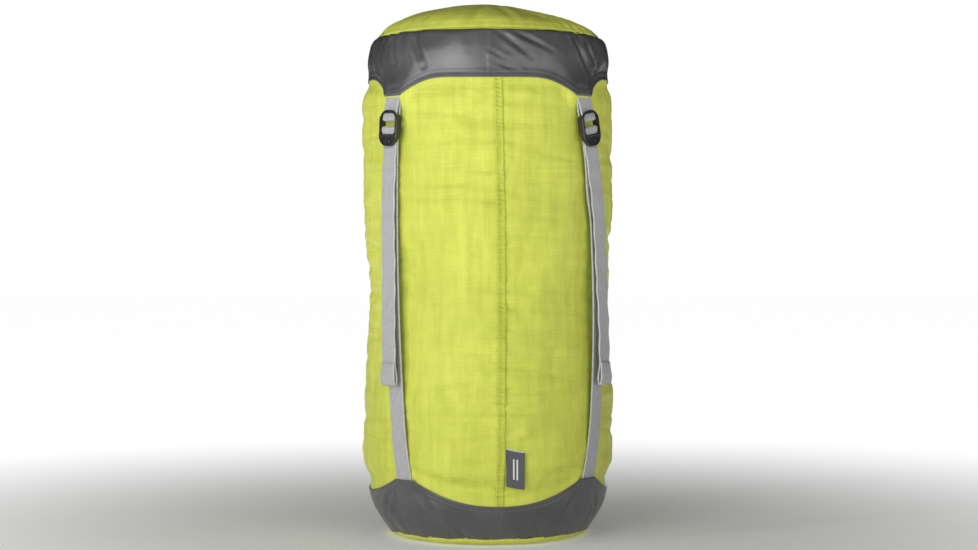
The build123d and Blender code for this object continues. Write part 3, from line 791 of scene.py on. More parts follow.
def lid_hem(azimuth):
    """Height of the lid's lower edge: steep beside each tab, then level, and higher at the sides."""
    from_arch = abs((azimuth + 45) % 90 - 45)
    share = min(max((40.5 - from_arch) / 25, 0), 1)
    rise = 16.5 + 7 * math.sin(math.radians(azimuth)) ** 2
    return LID_LOW.z + rise * MM * (1 - (1 - share) ** 2.8)


DOME_LOW, DOME_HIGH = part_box("lid_disc")
DOME_REACH = DOME_HIGH.x + 0.3 * MM
DOME_RISE = DOME_HIGH.z - DOME_LOW.z + 3 * MM


def dome_reach(height):
    """The dome's radius at a height."""
    share = (height - DOME_LOW.z + 3 * MM) / DOME_RISE
    return DOME_REACH * math.sqrt(max(1 - share * share, 0))


def top_seam(azimuth):
    """Height of the seam between skirt and dome: lower at the front and back, and not quite even."""
    ripple = 0.8 * uneven(azimuth, 0.5, 0.02, 0.05, 15) + 0.8 * uneven(azimuth, 0.5, 0.05, 0.05, 16)
    return LID_HIGH.z + (3.4 - 6.8 * math.cos(math.radians(azimuth)) ** 2 + ripple) * MM


def skirt_shape(azimuth, height):
    """The skirt's outer radius."""
    hem = lid_hem(azimuth)
    above = height - hem
    tab = 1 - ease(hem, LID_LOW.z, LID_LOW.z + 12 * MM)
    under_seam = ease(height, LID_HIGH.z - 34 * MM, LID_HIGH.z - 3 * MM)
    pleats = 0.25 + sum(ridge(wrapped(azimuth - centre), 0, reach) for centre, reach in LID_PLEATS)
    relief = 1.5 * uneven(azimuth, height, 0.09, 0.05, 11) + 0.5 * uneven(azimuth, height, 0.035, 0.02, 12)
    relief += 2.1 * pleats * under_seam * uneven(azimuth, height, 0.011, 0.16, 13)
    relief += 0.6 * under_seam * uneven(azimuth, height, 0.02, 0.05, 14)
    relief += fold_relief(LID_FOLDS, azimuth, height)
    seam = top_seam(azimuth)
    relief *= ease(above, 0.001, 0.012) * (1 - 0.7 * ease(height, seam - 5 * MM, seam))
    relief += 0.35 * (1 - ease(above, 7.5 * MM, 8.6 * MM)) - 0.25 * ridge(above / MM, 5.2, 0.9)
    relief += 0.45 * ridge(wrapped(azimuth - 0.5), 0, 0.55) - 0.35 * ridge(wrapped(azimuth + 0.3), 0, 0.25)
    tuck = 3.4 * (1 - tab) * (1 - ease(above, 0.0, 0.024))
    plain = skirt_radius(height)
    if height > LID_HIGH.z - 1 * MM:
        plain = min(plain, dome_reach(height) + 0.9 * MM)
    return plain + (max(relief, -1.8) - tuck) * MM


def skirt_place(across, along):
    azimuth = 180 + 360 * across
    hem = lid_hem(azimuth)
    height = hem + (top_seam(azimuth) - hem) * along
    return around(skirt_shape(azimuth, height), azimuth, height)


lid_skirt = cloth_grid("lid_skirt", COATED, 560, 44, (0.850, 0.068), skirt_place)
thicken(lid_skirt, 0.7 * MM, -1)
dress(lid_skirt, "lid", "lid_band")
print("skirt", len(lid_skirt.data.polygons), "faces")

# %% [markdown]
# ## The domed top
#
# One round panel of ripstop, stuffed from below. It follows the CAD dome, with
# puckers where the skirt gathers its edge and a few long folds that run out from
# the middle. A polar grid suits it, because its folds and puckers are radial.

# %% Lid dome
# Long folds: azimuth, where they start and end from the middle, turn, depth and width
DOME_FOLDS = [
    (28, 30, 104, 14, 1.1, 3.0),
    (36, 42, 112, 12, 1.3, 3.0),
    (44, 52, 116, 10, 1.5, 2.8),
    (53, 66, 118, 8, 1.6, 2.6),
    (-7, 52, 108, -5, 1.3, 5.0),
    (9, 56, 108, 6, 1.2, 5.0),
    (-34, 60, 116, -8, 0.9, 3.6),
    (-64, 50, 116, -9, 1.0, 3.6),
    (92, 50, 116, 8, 1.1, 3.2),
    (128, 40, 114, 10, 1.0, 3.4),
    (166, 48, 116, -8, 1.0, 3.4),
    (-152, 42, 112, 9, 1.1, 3.2),
    (-112, 54, 116, -7, 1.0, 3.0),
]


SHOULDER_SHARE = 0.1


def dome_place(across, along):
    azimuth = 180 + 360 * across
    if along < SHOULDER_SHARE:
        seam = top_seam(azimuth) - 2.5 * MM
        height = seam + (DOME_LOW.z - seam) * along / SHOULDER_SHARE
        if seam < DOME_LOW.z:
            return around(skirt_radius(height) - 0.55 * MM, azimuth, height)
        along = SHOULDER_SHARE
    along = (along - SHOULDER_SHARE) / (1 - SHOULDER_SHARE)
    reach = DOME_REACH * (1 - along) * 0.9985
    height = DOME_LOW.z - 3 * MM + DOME_RISE * math.sqrt(max(1 - (reach / DOME_REACH) ** 2, 0))
    rim = ease(reach, 0.092, 0.117)
    turn = math.radians(azimuth)
    flat_place = Vector((math.sin(turn) * reach, math.cos(turn) * reach, 0))
    relief = 1.6 * noise.noise(flat_place * 16 + Vector((3, 1, 8))) * ease(reach, 0.0, 0.04)
    relief += 0.5 * noise.noise(flat_place * 48 + Vector((5, 2, 1)))
    relief += 1.2 * rim * uneven(azimuth, height, 0.014, 0.2, 21)
    relief += 0.8 * rim * uneven(azimuth, height, 0.03, 0.2, 22)
    for centre, start, end, bend, deep, width in DOME_FOLDS:
        share = (reach / MM - start) / (end - start)
        if -0.3 < share < 1.3:
            aside = math.radians(wrapped(azimuth - centre - bend * (share - 0.5))) * reach / MM
            fading = ease(share, -0.2, 0.4) * (1 - ease(share, 1.0, 1.3))
            relief += 1.5 * deep * fading * (0.6 * ridge(aside, 1.9 * width, width) - ridge(aside, 0, width))
    relief *= 1 - ease(reach, 0.1185, 0.1203)
    slope = reach / DOME_REACH
    settle = 3.4 + 5.4 * ease(reach * math.sin(turn), 0.0, 0.085)
    height += (relief - settle) * MM * (1 - slope ** 6)
    return around(reach + relief * MM * slope * 0.6, azimuth, height - 0.3 * MM)


lid_dome = cloth_grid("lid_dome", LIME, 300, 74, (0.25, 0.25), dome_place)
round_pattern(lid_dome, 1.05, 0.13, 1)
thicken(lid_dome, 0.5 * MM, -1)
dress(lid_dome, "lid", "lid_disc")
print("dome", len(lid_dome.data.polygons), "faces")

# %% [markdown]
# ## Base band and base panel
#
# The base band is cut like the skirt, upside down: its upper edge dips in an arch
# at the front, back and sides and rises to a tab at each strap, and the whole band
# sits a little twisted against the lid. Its lower seam wanders and puckers over the
# round lime panel, which lies flat where the sack stands.

# %% Base band
BASE_LOW, BASE_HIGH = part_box("base_band")
BASE_TWIST = 5.6
BASE_PUCKERS = ((-18, 9), (27, 6), (55, 6), (-62, 8), (110, 9), (170, 12), (-130, 10))
BASE_FOLDS = [
    (-34, 60, -26, 30, 1.3, 3.6),
    (-20, 34, -12, 12, 1.6, 3.2),
    (-12, 28, -16, 10, 1.2, 2.6),
    (24, 26, 29, 10, 1.1, 2.8),
    (46, 54, 36, 28, 1.2, 3.6),
    (60, 50, 68, 24, 1.2, 3.6),
    (-52, 52, -62, 26, 1.2, 3.6),
    (100, 40, 110, 14, 1.2, 3.4),
    (150, 34, 164, 14, 1.2, 3.4),
    (-140, 40, -128, 16, 1.2, 3.4),
]


def base_hem(azimuth):
    """Height of the base band's upper edge."""
    turned = wrapped(azimuth - BASE_TWIST)
    front = min(abs(turned), 180 - abs(turned))
    side = abs(abs(turned) - 90)
    if front < side:
        return (44 + 25 * min(front / 40.9, 1) ** 2.2) * MM
    return (50.5 + 18.5 * min(side / 38.3, 1) ** 2.2) * MM


def base_shape(azimuth, height):
    """The base band's outer radius."""
    below = base_hem(azimuth) - height
    low = 1 - ease(height, 0.010, 0.034)
    puckers = 0.3 + sum(ridge(wrapped(azimuth - centre), 0, reach) for centre, reach in BASE_PUCKERS)
    relief = 1.4 * uneven(azimuth, height, 0.08, 0.04, 31) + 0.5 * uneven(azimuth, height, 0.03, 0.02, 32)
    relief += 1.7 * puckers * low * uneven(azimuth, height, 0.012, 0.09, 33)
    relief += fold_relief(BASE_FOLDS, azimuth, height)
    relief *= ease(below, 0.001, 0.010)
    relief += 0.3 * (1 - ease(below, 7.5 * MM, 8.6 * MM)) - 0.25 * ridge(below / MM, 5.2, 0.9)
    relief += 0.35 * ridge(wrapped(azimuth - 6.0), 0, 0.5) - 0.3 * ridge(wrapped(azimuth - 5.3), 0, 0.25)
    over_strap = max(ridge(wrapped(azimuth - strap_azimuth(corner, 0.06)), 0, 8) for corner in CORNERS)
    return wall_radius(height) + (3.3 + max(relief, -1.6 + 2.2 * min(over_strap * 1.3, 1))) * MM


def base_low(azimuth):
    """Height of the base band's lower seam, which wanders."""
    wander = 1.5 * uneven(azimuth, 0.2, 0.045, 0.05, 34) + 1.0 * uneven(azimuth, 0.2, 0.017, 0.05, 35)
    return BASE_LOW.z + (wander - 0.3) * MM


def base_place(across, along):
    azimuth = 180 + 360 * across
    low = base_low(azimuth)
    height = low + (base_hem(azimuth) - low) * along
    return around(base_shape(azimuth, height), azimuth, height)


base_skirt = cloth_grid("base_skirt", COATED, 520, 40, (0.80, 0.052), base_place)
thicken(base_skirt, 0.7 * MM, -1)
dress(base_skirt, "base", "base_band")
print("base band", len(base_skirt.data.polygons), "faces")

# %% Base panel
PANEL_LOW, PANEL_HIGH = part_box("base_disc")
FOOT = 88 * MM


def panel_place(across, along):
    azimuth = 180 + 360 * across
    reach = PANEL_HIGH.x * along
    share = max(reach - FOOT, 0) / (PANEL_HIGH.x - FOOT)
    rise = base_low(azimuth) + 0.8 * MM
    height = PANEL_LOW.z + rise * (1 - math.sqrt(max(1 - share * share, 0)))
    pucker = ease(reach, 0.055, 0.085) * (1 - ease(reach, 0.106, PANEL_HIGH.x))
    height += 0.9 * MM * pucker * max(uneven(azimuth, reach, 0.013, 0.05, 36), 0)
    return around(reach, azimuth, height)


base_panel = cloth_grid("base_panel", LIME, 260, 50, (0.23, 0.23), panel_place)
round_pattern(base_panel, 1, 0.12, -1)
thicken(base_panel, 0.6 * MM, -1)
dress(base_panel, "base", "base_disc")
print("base panel", len(base_panel.data.polygons), "faces")

# %% [markdown]
# One subdivision then makes the wall fine enough for the small work: gathers under
# the lid and above the base band, tiny puckers beside the front seam, and a last
# check that no cloth stands through a strap.

# %% Wall detail
def finer(piece):
    """Subdivides a piece once and keeps the result as its mesh."""
    modifier = piece.modifiers.new("Finer", "SUBSURF")
    modifier.levels = 1
    modifier.render_levels = 1
    done = piece.evaluated_get(bpy.context.evaluated_depsgraph_get())
    mesh = bpy.data.meshes.new_from_object(done)
    old = piece.data
    piece.modifiers.clear()
    piece.data = mesh
    bpy.data.meshes.remove(old)
    mesh.name = piece.name


def seam_ladder(height):
    """The small even puckers that the seam's stitches draw up."""
    return math.sin(2 * math.pi * (height / (3.9 * MM) + 0.8 * math.sin(height * 61)))


# Between these heights the wall crumples as the lid comes down
FOLD_LOW = 0.069
FOLD_HIGH = 0.345
# How far the wall lies inside a band or strap, and how far from a hem it tucks in
CLOTH_GAP = 1.3 * MM
TUCK_REACH = 16 * MM
LABEL_LOW, LABEL_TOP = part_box("woven_label")
LABEL_OUT = math.hypot(*JOINTS["label_flap"]["pos_m"][:2])
LABEL_MIDDLE = (LABEL_LOW.z + LABEL_TOP.z) / 2


def tucked(radius, limit, away):
    """Brings the wall to a band's inner side at its hem, and lets it out again further away."""
    return radius + (limit - radius) * (1 - ease(away, 0.5 * MM, TUCK_REACH))


finer(sack_wall)
for vert in sack_wall.data.vertices:
    azimuth = azimuth_of(vert.co)
    height = vert.co.z
    radius = math.hypot(vert.co.x, vert.co.y)
    inside = ease(height, 0.012, 0.05) * (1 - ease(height, 0.488, 0.5))
    aside = abs(wrapped(azimuth - seam_line(height)))
    gathers = 0.45 * uneven(azimuth, height, 0.009, 0.05, 5) * ease(height, 0.452, 0.47)
    gathers += 0.55 * uneven(azimuth, height, 0.010, 0.05, 6) * (1 - ease(height, 0.05, 0.085))
    level = 1.5 * uneven(azimuth, height, 0.06, 0.011, 3) + 0.7 * uneven(azimuth, height, 0.025, 0.007, 4)
    near_seam = ridge(aside, 1.5, 3.6)
    pucker = 1.1 * near_seam * uneven(azimuth, height, 0.012, 0.0045, 7)
    crease = max(0.0, 1 - 4.5 * abs(uneven(azimuth, height, 0.09, 0.017, 9)))
    crease *= ease(uneven(azimuth, height, 0.07, 0.05, 10), -0.1, 0.3)
    level -= 1.7 * crease + 1.1
    radius += inside * (gathers + level * (0.7 + 0.9 * ridge(aside, 0, 16)) + pucker) * MM
    lid_edge = lid_hem(azimuth)
    if lid_edge - height < TUCK_REACH:
        limit = skirt_shape(azimuth, max(height, lid_edge)) - CLOTH_GAP
        radius = tucked(radius, limit, lid_edge - height)
    base_edge = base_hem(azimuth)
    if height - base_edge < TUCK_REACH:
        limit = base_shape(azimuth, min(height, base_edge)) - CLOTH_GAP
        radius = tucked(radius, limit, height - base_edge)
    for corner in CORNERS:
        off = abs(wrapped(azimuth - strap_azimuth(corner, height))) * WALL_DEGREE * MM
        if off < 20 * MM and height < 430 * MM:
            limit = strap_radius(corner, height) - CLOTH_GAP + 3 * MM * ease(off, 11.5 * MM, 20 * MM)
            radius = min(radius, limit)
    if -1 < azimuth - SEAM_AZIMUTH < 12 and abs(height - LABEL_MIDDLE) < 30 * MM:
        radius = min(radius, LABEL_OUT - 1.1 * MM)
    vert.co = around(radius, azimuth, height)
sack_wall.data.update()
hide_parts("sack_body")
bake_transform(sack_wall)
print("wall", len(sack_wall.data.polygons), "faces")

# %% [markdown]
# ## The front seam
#
# The wall's one seam is felled: its edges are folded together and stitched down
# flat, which leaves a strip of double cloth, a ridge along its left and a tucked
# edge on its right, drawn into a ladder of small puckers by the stitches.

# %% Front seam
SEAM_WIDTH = 9.5 * MM
SEAM_LOW = 34 * MM
SEAM_STEP = 4 * MM
SEAM_GAP = 0.9 * MM
SEAM_POINTS = {}
for vert in sack_wall.data.vertices:
    if abs(wrapped(azimuth_of(vert.co) - seam_line(vert.co.z))) < 1.9:
        level = round(vert.co.z / SEAM_STEP)
        radius = math.hypot(vert.co.x, vert.co.y)
        SEAM_POINTS[level] = max(SEAM_POINTS.get(level, 0.0), radius)
seam_levels = sorted(SEAM_POINTS)


def seam_radius(height):
    """The wall's outer radius along the seam."""
    radii = [SEAM_POINTS[level] for level in seam_levels]
    return float(np.interp(height / SEAM_STEP, seam_levels, radii))


def seam_place(across, along):
    height = SEAM_LOW + (WALL_HIGH - 2 * MM - SEAM_LOW) * along
    aside = (across - 0.5) * SEAM_WIDTH
    aside += 0.5 * MM * noise.noise(Vector((height * 90, 2.0, 4.0)))
    rise = 0.55 * ridge(across, 0.14, 0.12) + 0.35 * ridge(across, 0.80, 0.13)
    rise += 0.55 * seam_ladder(height + 1.6 * MM * across) * ridge(across, 0.42, 0.36)
    rise -= 0.5 * ease(across, 0.9, 1.0) + 0.5 * (1 - ease(across, 0.0, 0.1))
    radius = seam_radius(height) + (0.55 + rise) * MM
    lid_edge = lid_hem(SEAM_AZIMUTH)
    if height > lid_edge - 2 * MM:
        radius = min(radius, skirt_shape(SEAM_AZIMUTH, max(height, lid_edge)) - SEAM_GAP)
    base_edge = base_hem(SEAM_AZIMUTH)
    if height < base_edge + 2 * MM:
        radius = min(radius, base_shape(SEAM_AZIMUTH, min(height, base_edge)) - SEAM_GAP)
    azimuth = seam_line(height) + math.degrees(aside / radius)
    return around(radius, azimuth, height)


# The seam strip's darker lime is painted shade.
wall_seam = cloth_grid("wall_seam", LIME_SEAM_SHADE, 16, 460, (SEAM_WIDTH, WALL_HIGH - SEAM_LOW), seam_place)
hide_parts("body_seam")
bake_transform(wall_seam)
print("seam", len(wall_seam.data.polygons), "faces")

# %% [markdown]
# ## The drawn mouth
#
# Under the lid the bag's own top is drawn in by its cord, so the cloth goes over
# the shoulder and gathers into radial pleats that crowd towards a small ring. The
# ring is the tunnel that the cord runs in. The cord and its lock are already the
# right shape in the CAD, so they stay and get their finishes.

# %% Drawn mouth
MOUTH_LOW, MOUTH_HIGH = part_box("mouth_collar")
# Radius and height up the mouth's section, as shares of the CAD collar's box
MOUTH_SECTION = [
    (1.000, 0.00), (0.975, 0.29), (0.945, 0.44), (0.880, 0.56), (0.800, 0.63), (0.690, 0.68),
    (0.560, 0.71), (0.420, 0.74), (0.320, 0.77), (0.262, 0.79), (0.228, 0.84), (0.216, 0.92),
    (0.206, 0.97), (0.184, 1.00), (0.162, 0.97), (0.152, 0.92), (0.162, 0.87), (0.184, 0.84),
]


def mouth_place(across, along):
    azimuth = 180 + 360 * across
    spot = (1 - along) * (len(MOUTH_SECTION) - 1)
    index = min(int(spot), len(MOUTH_SECTION) - 2)
    share = spot - index
    (first, low), (last, high) = MOUTH_SECTION[index], MOUTH_SECTION[index + 1]
    radius = MOUTH_HIGH.x * (first + (last - first) * share)
    height = MOUTH_LOW.z + (MOUTH_HIGH.z - MOUTH_LOW.z) * (low + (high - low) * share)
    gather = ease(MOUTH_HIGH.x - radius, 0.004, 0.04) * (1 - 0.75 * ease(0.04 - radius, 0, 0.012))
    pleat = 2.6 * uneven(azimuth, 0.3, 0.017, 0.1, 41) + 1.4 * uneven(azimuth, 0.3, 0.008, 0.1, 42)
    radius -= 1.4 * MM * ease(radius, 0.1, 0.125)
    return around(radius, azimuth, height + (pleat * gather - 0.3) * MM)


mouth_cloth = cloth_grid("mouth_cloth", LIME, 420, 96, (0.82, 0.125), mouth_place)
mouth_cloth.data.flip_normals()
thicken(mouth_cloth, 0.5 * MM, -1)
dress(mouth_cloth, "crown", "mouth_collar")


def finish_node(name, material):
    """Gives a CAD node that is kept its finish."""
    for material_slot in NODES[name].material_slots:
        material_slot.material = material


finish_node("drawcord", CORD)
finish_node("cord_lock_barrel", PLASTIC)
finish_node("cord_lock_plunger", PLASTIC)
print("mouth", len(mouth_cloth.data.polygons), "faces")

# %% [markdown]
# The lock's spring gets shorter as the plunger is pressed, and a CAD node can't. So
# a copy of its coil, with a mesh of its own, stands for it.

# %% Lock spring
spring_coil = bpy.data.objects.new("lock_spring_coil", NODES["cord_lock_spring"].data.copy())
scene.collection.objects.link(spring_coil)
spring_coil.data.materials.clear()
spring_coil.data.materials.append(STEEL)
dress(spring_coil, "cord_lock", "cord_lock_spring")
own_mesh(spring_coil)

# %% [markdown]
# ## Strips of webbing
#
# A strap is flat, so it is a narrow grid swept along a route, with a direction
# across it at each step. Routes are straight runs whose corners are rounded by a
# short curve, as stiff webbing turns, and a route over a bar is drawn in the
# buckle's own directions: out from the sack and up along the strap.

# %% Webbing helpers
def rounded_route(points, reaches, step=2.0 * MM):
    """Evenly spaced points along straight runs whose corners are rounded."""
    points = [Vector(point) for point in points]
    dense = [points[0]]
    for before, corner, after, reach in zip(points, points[1:], points[2:], reaches):
        back = before - corner
        ahead = after - corner
        start = corner + back.normalized() * min(reach, back.length / 2)
        end = corner + ahead.normalized() * min(reach, ahead.length / 2)
        for i in range(9):
            share = i / 8
            dense.append(start * (1 - share) ** 2 + corner * 2 * share * (1 - share) + end * share ** 2)
    dense.append(points[-1])
    gaps = [(b - a).length for a, b in zip(dense, dense[1:])]
    at = np.concatenate(([0.0], np.cumsum(gaps)))
    count = max(3, round(at[-1] / step) + 1)
    steps = np.linspace(0, at[-1], count)
    columns = [np.interp(steps, at, [point[axis] for point in dense]) for axis in range(3)]
    return [Vector(point) for point in zip(*columns)]


def webbing(name, route, sides, waver=0.0):
    """A strip of webbing along a route; sides gives the direction across it at each point."""
    length = sum((b - a).length for a, b in zip(route, route[1:]))

    def place(across, along):
        index = round(along * (len(route) - 1))
        point = route[index]
        crown = waver * math.sin(index * 0.33 + point.x * 40) * (2 * across - 1)
        before = route[max(index - 1, 0)]
        after = route[min(index + 1, len(route) - 1)]
        face = sides[index].cross(after - before).normalized()
        return point + sides[index] * ((across - 0.5) * WEBBING_WIDTH) + face * crown

    strip = cloth_grid(name, WEBBING, 10, len(route) - 1, (WEBBING_WIDTH, length), place)
    thicken(strip, 1.35 * MM, 0)
    return strip


def stitches(name, material, rows, length=2.2 * MM, gap=0.9 * MM, radius=0.26 * MM):
    """Rows of stitches: each row is points on a surface and the way out of it."""
    bm = bmesh.new()
    for points, outs in rows:
        for start, end, out in zip(points, points[1:], outs):
            away = end - start
            along = away.normalized()
            side = along.cross(out).normalized()
            size = Matrix.Diagonal((radius, radius * 0.8, away.length * length / (length + gap) / 2, 1))
            turn = Matrix((side, out, along)).transposed().to_4x4()
            spot = Matrix.Translation((start + end) / 2)
            bmesh.ops.create_uvsphere(bm, u_segments=6, v_segments=4, radius=1, matrix=spot @ turn @ size)
    bmesh.ops.recalc_face_normals(bm, faces=bm.faces)
    return make_piece(name, bm, material)


def radial(point):
    return Vector((point.x, point.y, 0)).normalized()


def stitch_row(point_at, count):
    """One row: point_at(share) is a point on the surface, and out is away from the axis."""
    points = [point_at(i / count) for i in range(count + 1)]
    return points, [radial(point) for point in points]


print("webbing helpers ready")

# %% [markdown]
# ## Buckles and straps
#
# Each buckle has its own frame of reference, read from its hinge: the bar it hangs
# on, the way out of the sack and the way up. The anchor webbing loops round that
# bar. The strap comes up behind, over the middle bar, and hangs down in front as a
# tail whose end is folded and stitched so that it can't slip out.

# %% Straps
def buckle_frame(corner):
    """The hinge's place and the buckle's directions: across, out and up."""
    joint = JOINTS[f"buckle_tilt_{corner}"]
    place = Vector(joint["pos_m"])
    out = radial(place)
    up = out.cross(Vector(joint["axis"])).normalized()
    if up.z < 0:
        up = -up
    return place, up.cross(out).normalized(), out, up


def on_buckle(corner, out_mm, up_mm):
    place, across, out, up = buckle_frame(corner)
    return place + out * (out_mm * MM) + up * (up_mm * MM)


def make_anchor(corner):
    """The short loop that is sewn under the lid's tab and holds the buckle's end bar."""
    section = [(-6.2, 34), (-3.0, 23.5), (-2.6, -2.6), (3.2, -2.6), (-1.4, 23.5), (-4.6, 34)]
    points = [on_buckle(corner, *spot) for spot in section]
    route = rounded_route(points, [6 * MM, 2.4 * MM, 2.4 * MM, 6 * MM], 1.0 * MM)
    strip = webbing(f"anchor_webbing_{corner}", route, [buckle_frame(corner)[1]] * len(route))
    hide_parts(f"lid_loop_{corner}")
    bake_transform(strip)


def strap_point(corner, height):
    return around(strap_radius(corner, height), strap_azimuth(corner, height), height)


def sides_of(route):
    """The direction across a strap that climbs the sack: square to its route and to the way out."""
    sides = []
    for i, point in enumerate(route):
        along = route[min(i + 1, len(route) - 1)] - route[max(i - 1, 0)]
        sides.append(along.cross(radial(point)).normalized())
    return sides


CROWN_TO_LID = 0.395


def make_run(corner):
    """The strap from the base tab to the buckle, in three pieces, one for each joint it crosses."""
    heights = STRAP_LINES[corner][0]
    levels = np.linspace(heights[0] + 2 * MM, heights[-1], 15)
    points = [strap_point(corner, level) for level in levels]
    points.append(on_buckle(corner, -1.3, -22.4))
    route = rounded_route(points, [12 * MM] * (len(points) - 2), 2.5 * MM)
    sides = sides_of(route)
    cuts = [0]
    for level in (FOLD_HIGH, CROWN_TO_LID):
        cuts.append(min(range(len(route)), key=lambda i: abs(route[i].z - level)))
    cuts.append(len(route) - 1)
    bodies = [("base", "crown"), ("crown", "lid"), ("lid", f"buckle_{corner}")]
    for part, (low, high), (first, second) in zip(("low", "mid", "top"), zip(cuts, cuts[1:]), bodies):
        strip = webbing(f"strap_{part}_{corner}", route[low:high + 1], sides[low:high + 1])
        start = max(route[low].z, FOLD_LOW)
        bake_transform(strip)
    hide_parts(f"strap_run_{corner}")


def make_wrap(corner):
    """The strap over the middle bar and down behind the grip bar."""
    section = [(-1.3, -22.4), (-1.3, -9.0), (3.7, -9.0), (3.7, -13.4), (0.9, -19.6), (0.75, -30.4)]
    points = [on_buckle(corner, *spot) for spot in section]
    route = rounded_route(points, [2.5 * MM, 2.5 * MM, 2.2 * MM, 3.0 * MM], 0.8 * MM)
    strip = webbing(f"wrap_webbing_{corner}", route, [buckle_frame(corner)[1]] * len(route))
    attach(strip, f"buckle_{corner}")
    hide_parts(f"strap_wrap_{corner}")


# The tail's hem: how far out and how high it goes down, turns and comes up again
HEM_FOLD = ((-0.6, 184), (-1.4, 175), (-0.8, 168), (1.6, 168), (3.2, 175), (1.9, 185), (1.5, 191.5))


def make_tail(corner):
    """The hanging end of the strap, with its folded and stitched hem."""
    top = on_buckle(corner, 0.75, -30.4)
    reach = math.hypot(top.x, top.y)
    shift = azimuth_of(top) - strap_azimuth(corner, top.z)
    points = [top]
    for share in (0.12, 0.25, 0.4, 0.55, 0.7, 0.85, 1.0):
        height = top.z + (0.192 - top.z) * share
        belly = 1.4 * math.sin(share * 7 + reach * 90) * MM * math.sin(math.pi * share)
        azimuth = strap_azimuth(corner, height) + wrapped(shift) * (1 - share)
        points.append(around(reach + 5.0 * MM * share + belly, azimuth, height))
    last = strap_azimuth(corner, 0.18)
    hem = reach + 5.0 * MM
    for out, height in HEM_FOLD:
        points.append(around(hem + out * MM, last, height * MM))
    reaches = [16 * MM] * 7 + [4 * MM, 4 * MM, 1.4 * MM, 1.4 * MM, 4 * MM, 4 * MM]
    route = rounded_route(points, reaches, 1.6 * MM)
    across = Vector((math.cos(math.radians(last)), math.sin(math.radians(last)), 0))
    sides = []
    for point in route:
        share = ease(top.z - point.z, 0.0, 0.2)
        sides.append((buckle_frame(corner)[1] * (1 - share) + across * share).normalized())
    strip = webbing(f"tail_webbing_{corner}", route, sides, waver=0.5 * MM)
    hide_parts(f"strap_tail_{corner}")
    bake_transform(strip)
    rows = []
    for height in (187.5, 190.0):
        level = around(hem + 0.2 * MM, last, height * MM) + radial(top) * 2.35 * MM
        rows.append(stitch_row(lambda share, start=level: start + across * ((share - 0.5) * 17 * MM), 7))
    thread = stitches(f"tail_stitches_{corner}", PALE_THREAD, rows)
    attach(thread, f"tail_{corner}")


for corner in CORNERS:
    make_anchor(corner)
    make_run(corner)
    make_wrap(corner)
    make_tail(corner)
    finish_node(f"ladder_buckle_{corner}", PLASTIC)
print("straps made")

# %% [markdown]
# ## Stitching
#
# A hem is held by a row of stitches a few millimetres from its edge, and each
# webbing end by a few short rows close together. They are small beads of thread
# that lie on the same surfaces as the cloth.

# %% Stitches on the bands
HEM_TO_STITCH = 5.2 * MM


def on_band(shape, azimuth, height):
    """A point just proud of a band's cloth."""
    return around(shape(azimuth, height) + 0.1 * MM, azimuth, height)


def hem_row(shape, hem, side, count):
    """One row of stitches all round, along a hem."""
    def point_at(share):
        azimuth = 360 * share
        return on_band(shape, azimuth, hem(azimuth) + side * HEM_TO_STITCH)
    return stitch_row(point_at, count)


def upright_row(shape, azimuth, low, rise, count):
    return stitch_row(lambda share: on_band(shape, azimuth, low + rise * share), count)


def tab_row(shape, middle, half, height):
    """One short level row, which holds the webbing under a tab."""
    return stitch_row(lambda share: on_band(shape, middle - half + 2 * half * share, height), 8)


lid_rows = [hem_row(skirt_shape, lid_hem, 1, 270), upright_row(skirt_shape, 0.9, 0.492, 0.044, 15)]
base_rows = [hem_row(base_shape, base_hem, -1, 250), upright_row(base_shape, 6.4, 0.012, 0.026, 9)]
for centre in (-135, -45, 45, 135):
    for above in (2.6, 9.0, 10.6, 12.2):
        lid_rows.append(tab_row(skirt_shape, centre, 4.1, LID_LOW.z + above * MM))
for corner in CORNERS:
    for below in (2.4, 8.0, 9.6):
        base_rows.append(tab_row(base_shape, strap_azimuth(corner, 0.06), 4.4, BASE_HIGH.z - below * MM))
lid_thread = stitches("lid_stitches", GREY_THREAD, lid_rows)
base_thread = stitches("base_stitches", GREY_THREAD, base_rows)
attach(lid_thread, "lid")
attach(base_thread, "base")

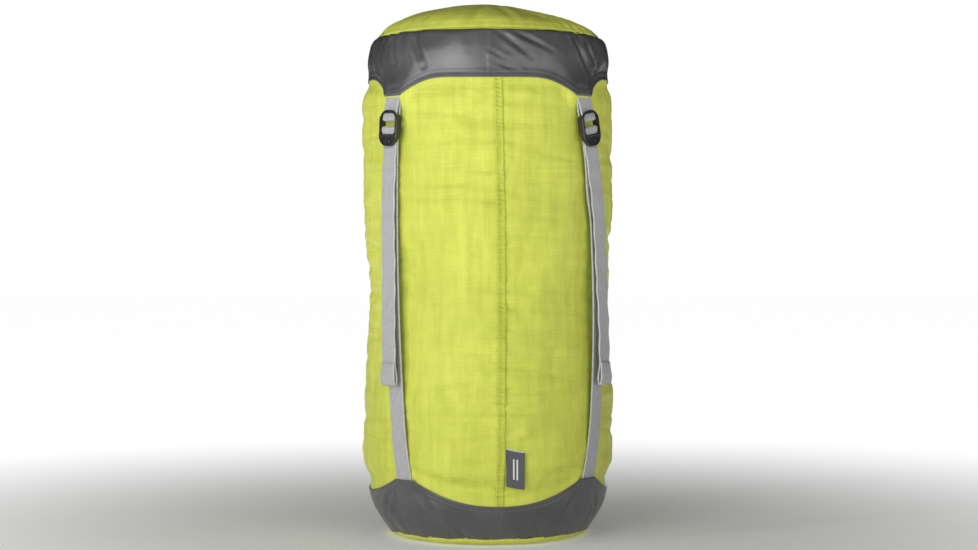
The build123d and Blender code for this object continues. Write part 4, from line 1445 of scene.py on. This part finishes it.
# %% Stitches on the seam
seam_rows = []
for across in (0.2, 0.84):
    proud = radial(seam_place(across, 0.5)) * 0.12 * MM
    row = stitch_row(lambda share, side=across, out=proud: seam_place(side, 0.02 + 0.97 * share) + out, 150)
    seam_rows.append(row)
seam_thread = stitches("seam_stitches", LIME_THREAD, seam_rows, radius=0.22 * MM)
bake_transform(seam_thread)
print("stitches made")

# %% [markdown]
# ## The label
#
# A small woven label is caught in the seam by its left edge. Cloth this short is
# stiff, so it stands a little off the wall, droops at its free side and curls.

# %% Label
label_hinge = Vector(JOINTS["label_flap"]["pos_m"])
LABEL_TURN = Matrix.Rotation(math.radians(azimuth_of(label_hinge)), 3, "Z")
LABEL_DROOP = LABEL_TOP.z - LABEL_LOW.z - LABEL_HEIGHT


def label_place(across, along):
    droop = LABEL_DROOP * across + 0.5 * MM * math.sin(across * math.pi)
    height = LABEL_TOP.z - droop - LABEL_HEIGHT * (1 - along)
    curl = 1.1 * across * across + 0.35 * math.sin(along * 5 + across * 3) * across
    return LABEL_TURN @ Vector((across * LABEL_WIDTH - 0.4 * MM, -LABEL_OUT - (curl - 0.2) * MM, height))


woven_label = cloth_grid("label_cloth", LABEL, 24, 44, (LABEL_WIDTH, LABEL_HEIGHT), label_place)
thicken(woven_label, 0.5 * MM, 0)
dress(woven_label, "label", "woven_label")
print("label at", round(LABEL_OUT, 4))

# %% [markdown]
# ## Floor
#
# A plain pale floor. It glows a little more further out, so that it meets the
# white background without a horizon.

# %% Floor
FLOOR = new_material("pale floor", Roughness=0.9, Specular_IOR_Level=0.1, Emission_Color=WHITE)
spot = add_node(FLOOR, "ShaderNodeTexCoord", {}).outputs["Object"]
away = add_node(FLOOR, "ShaderNodeVectorMath", {0: spot}, operation="LENGTH").outputs["Value"]
drive(FLOOR, "Emission Strength", fade(FLOOR, away, 0.15, 1.3, 0.14, 0.88))
tint(FLOOR, cloud(FLOOR, 3.0), (0.88, 0.88, 0.88), (0.90, 0.90, 0.90))
bm = bmesh.new()
bmesh.ops.create_grid(bm, x_segments=4, y_segments=4, size=30)
floor = make_piece("floor", bm, FLOOR)
print("floor ready")
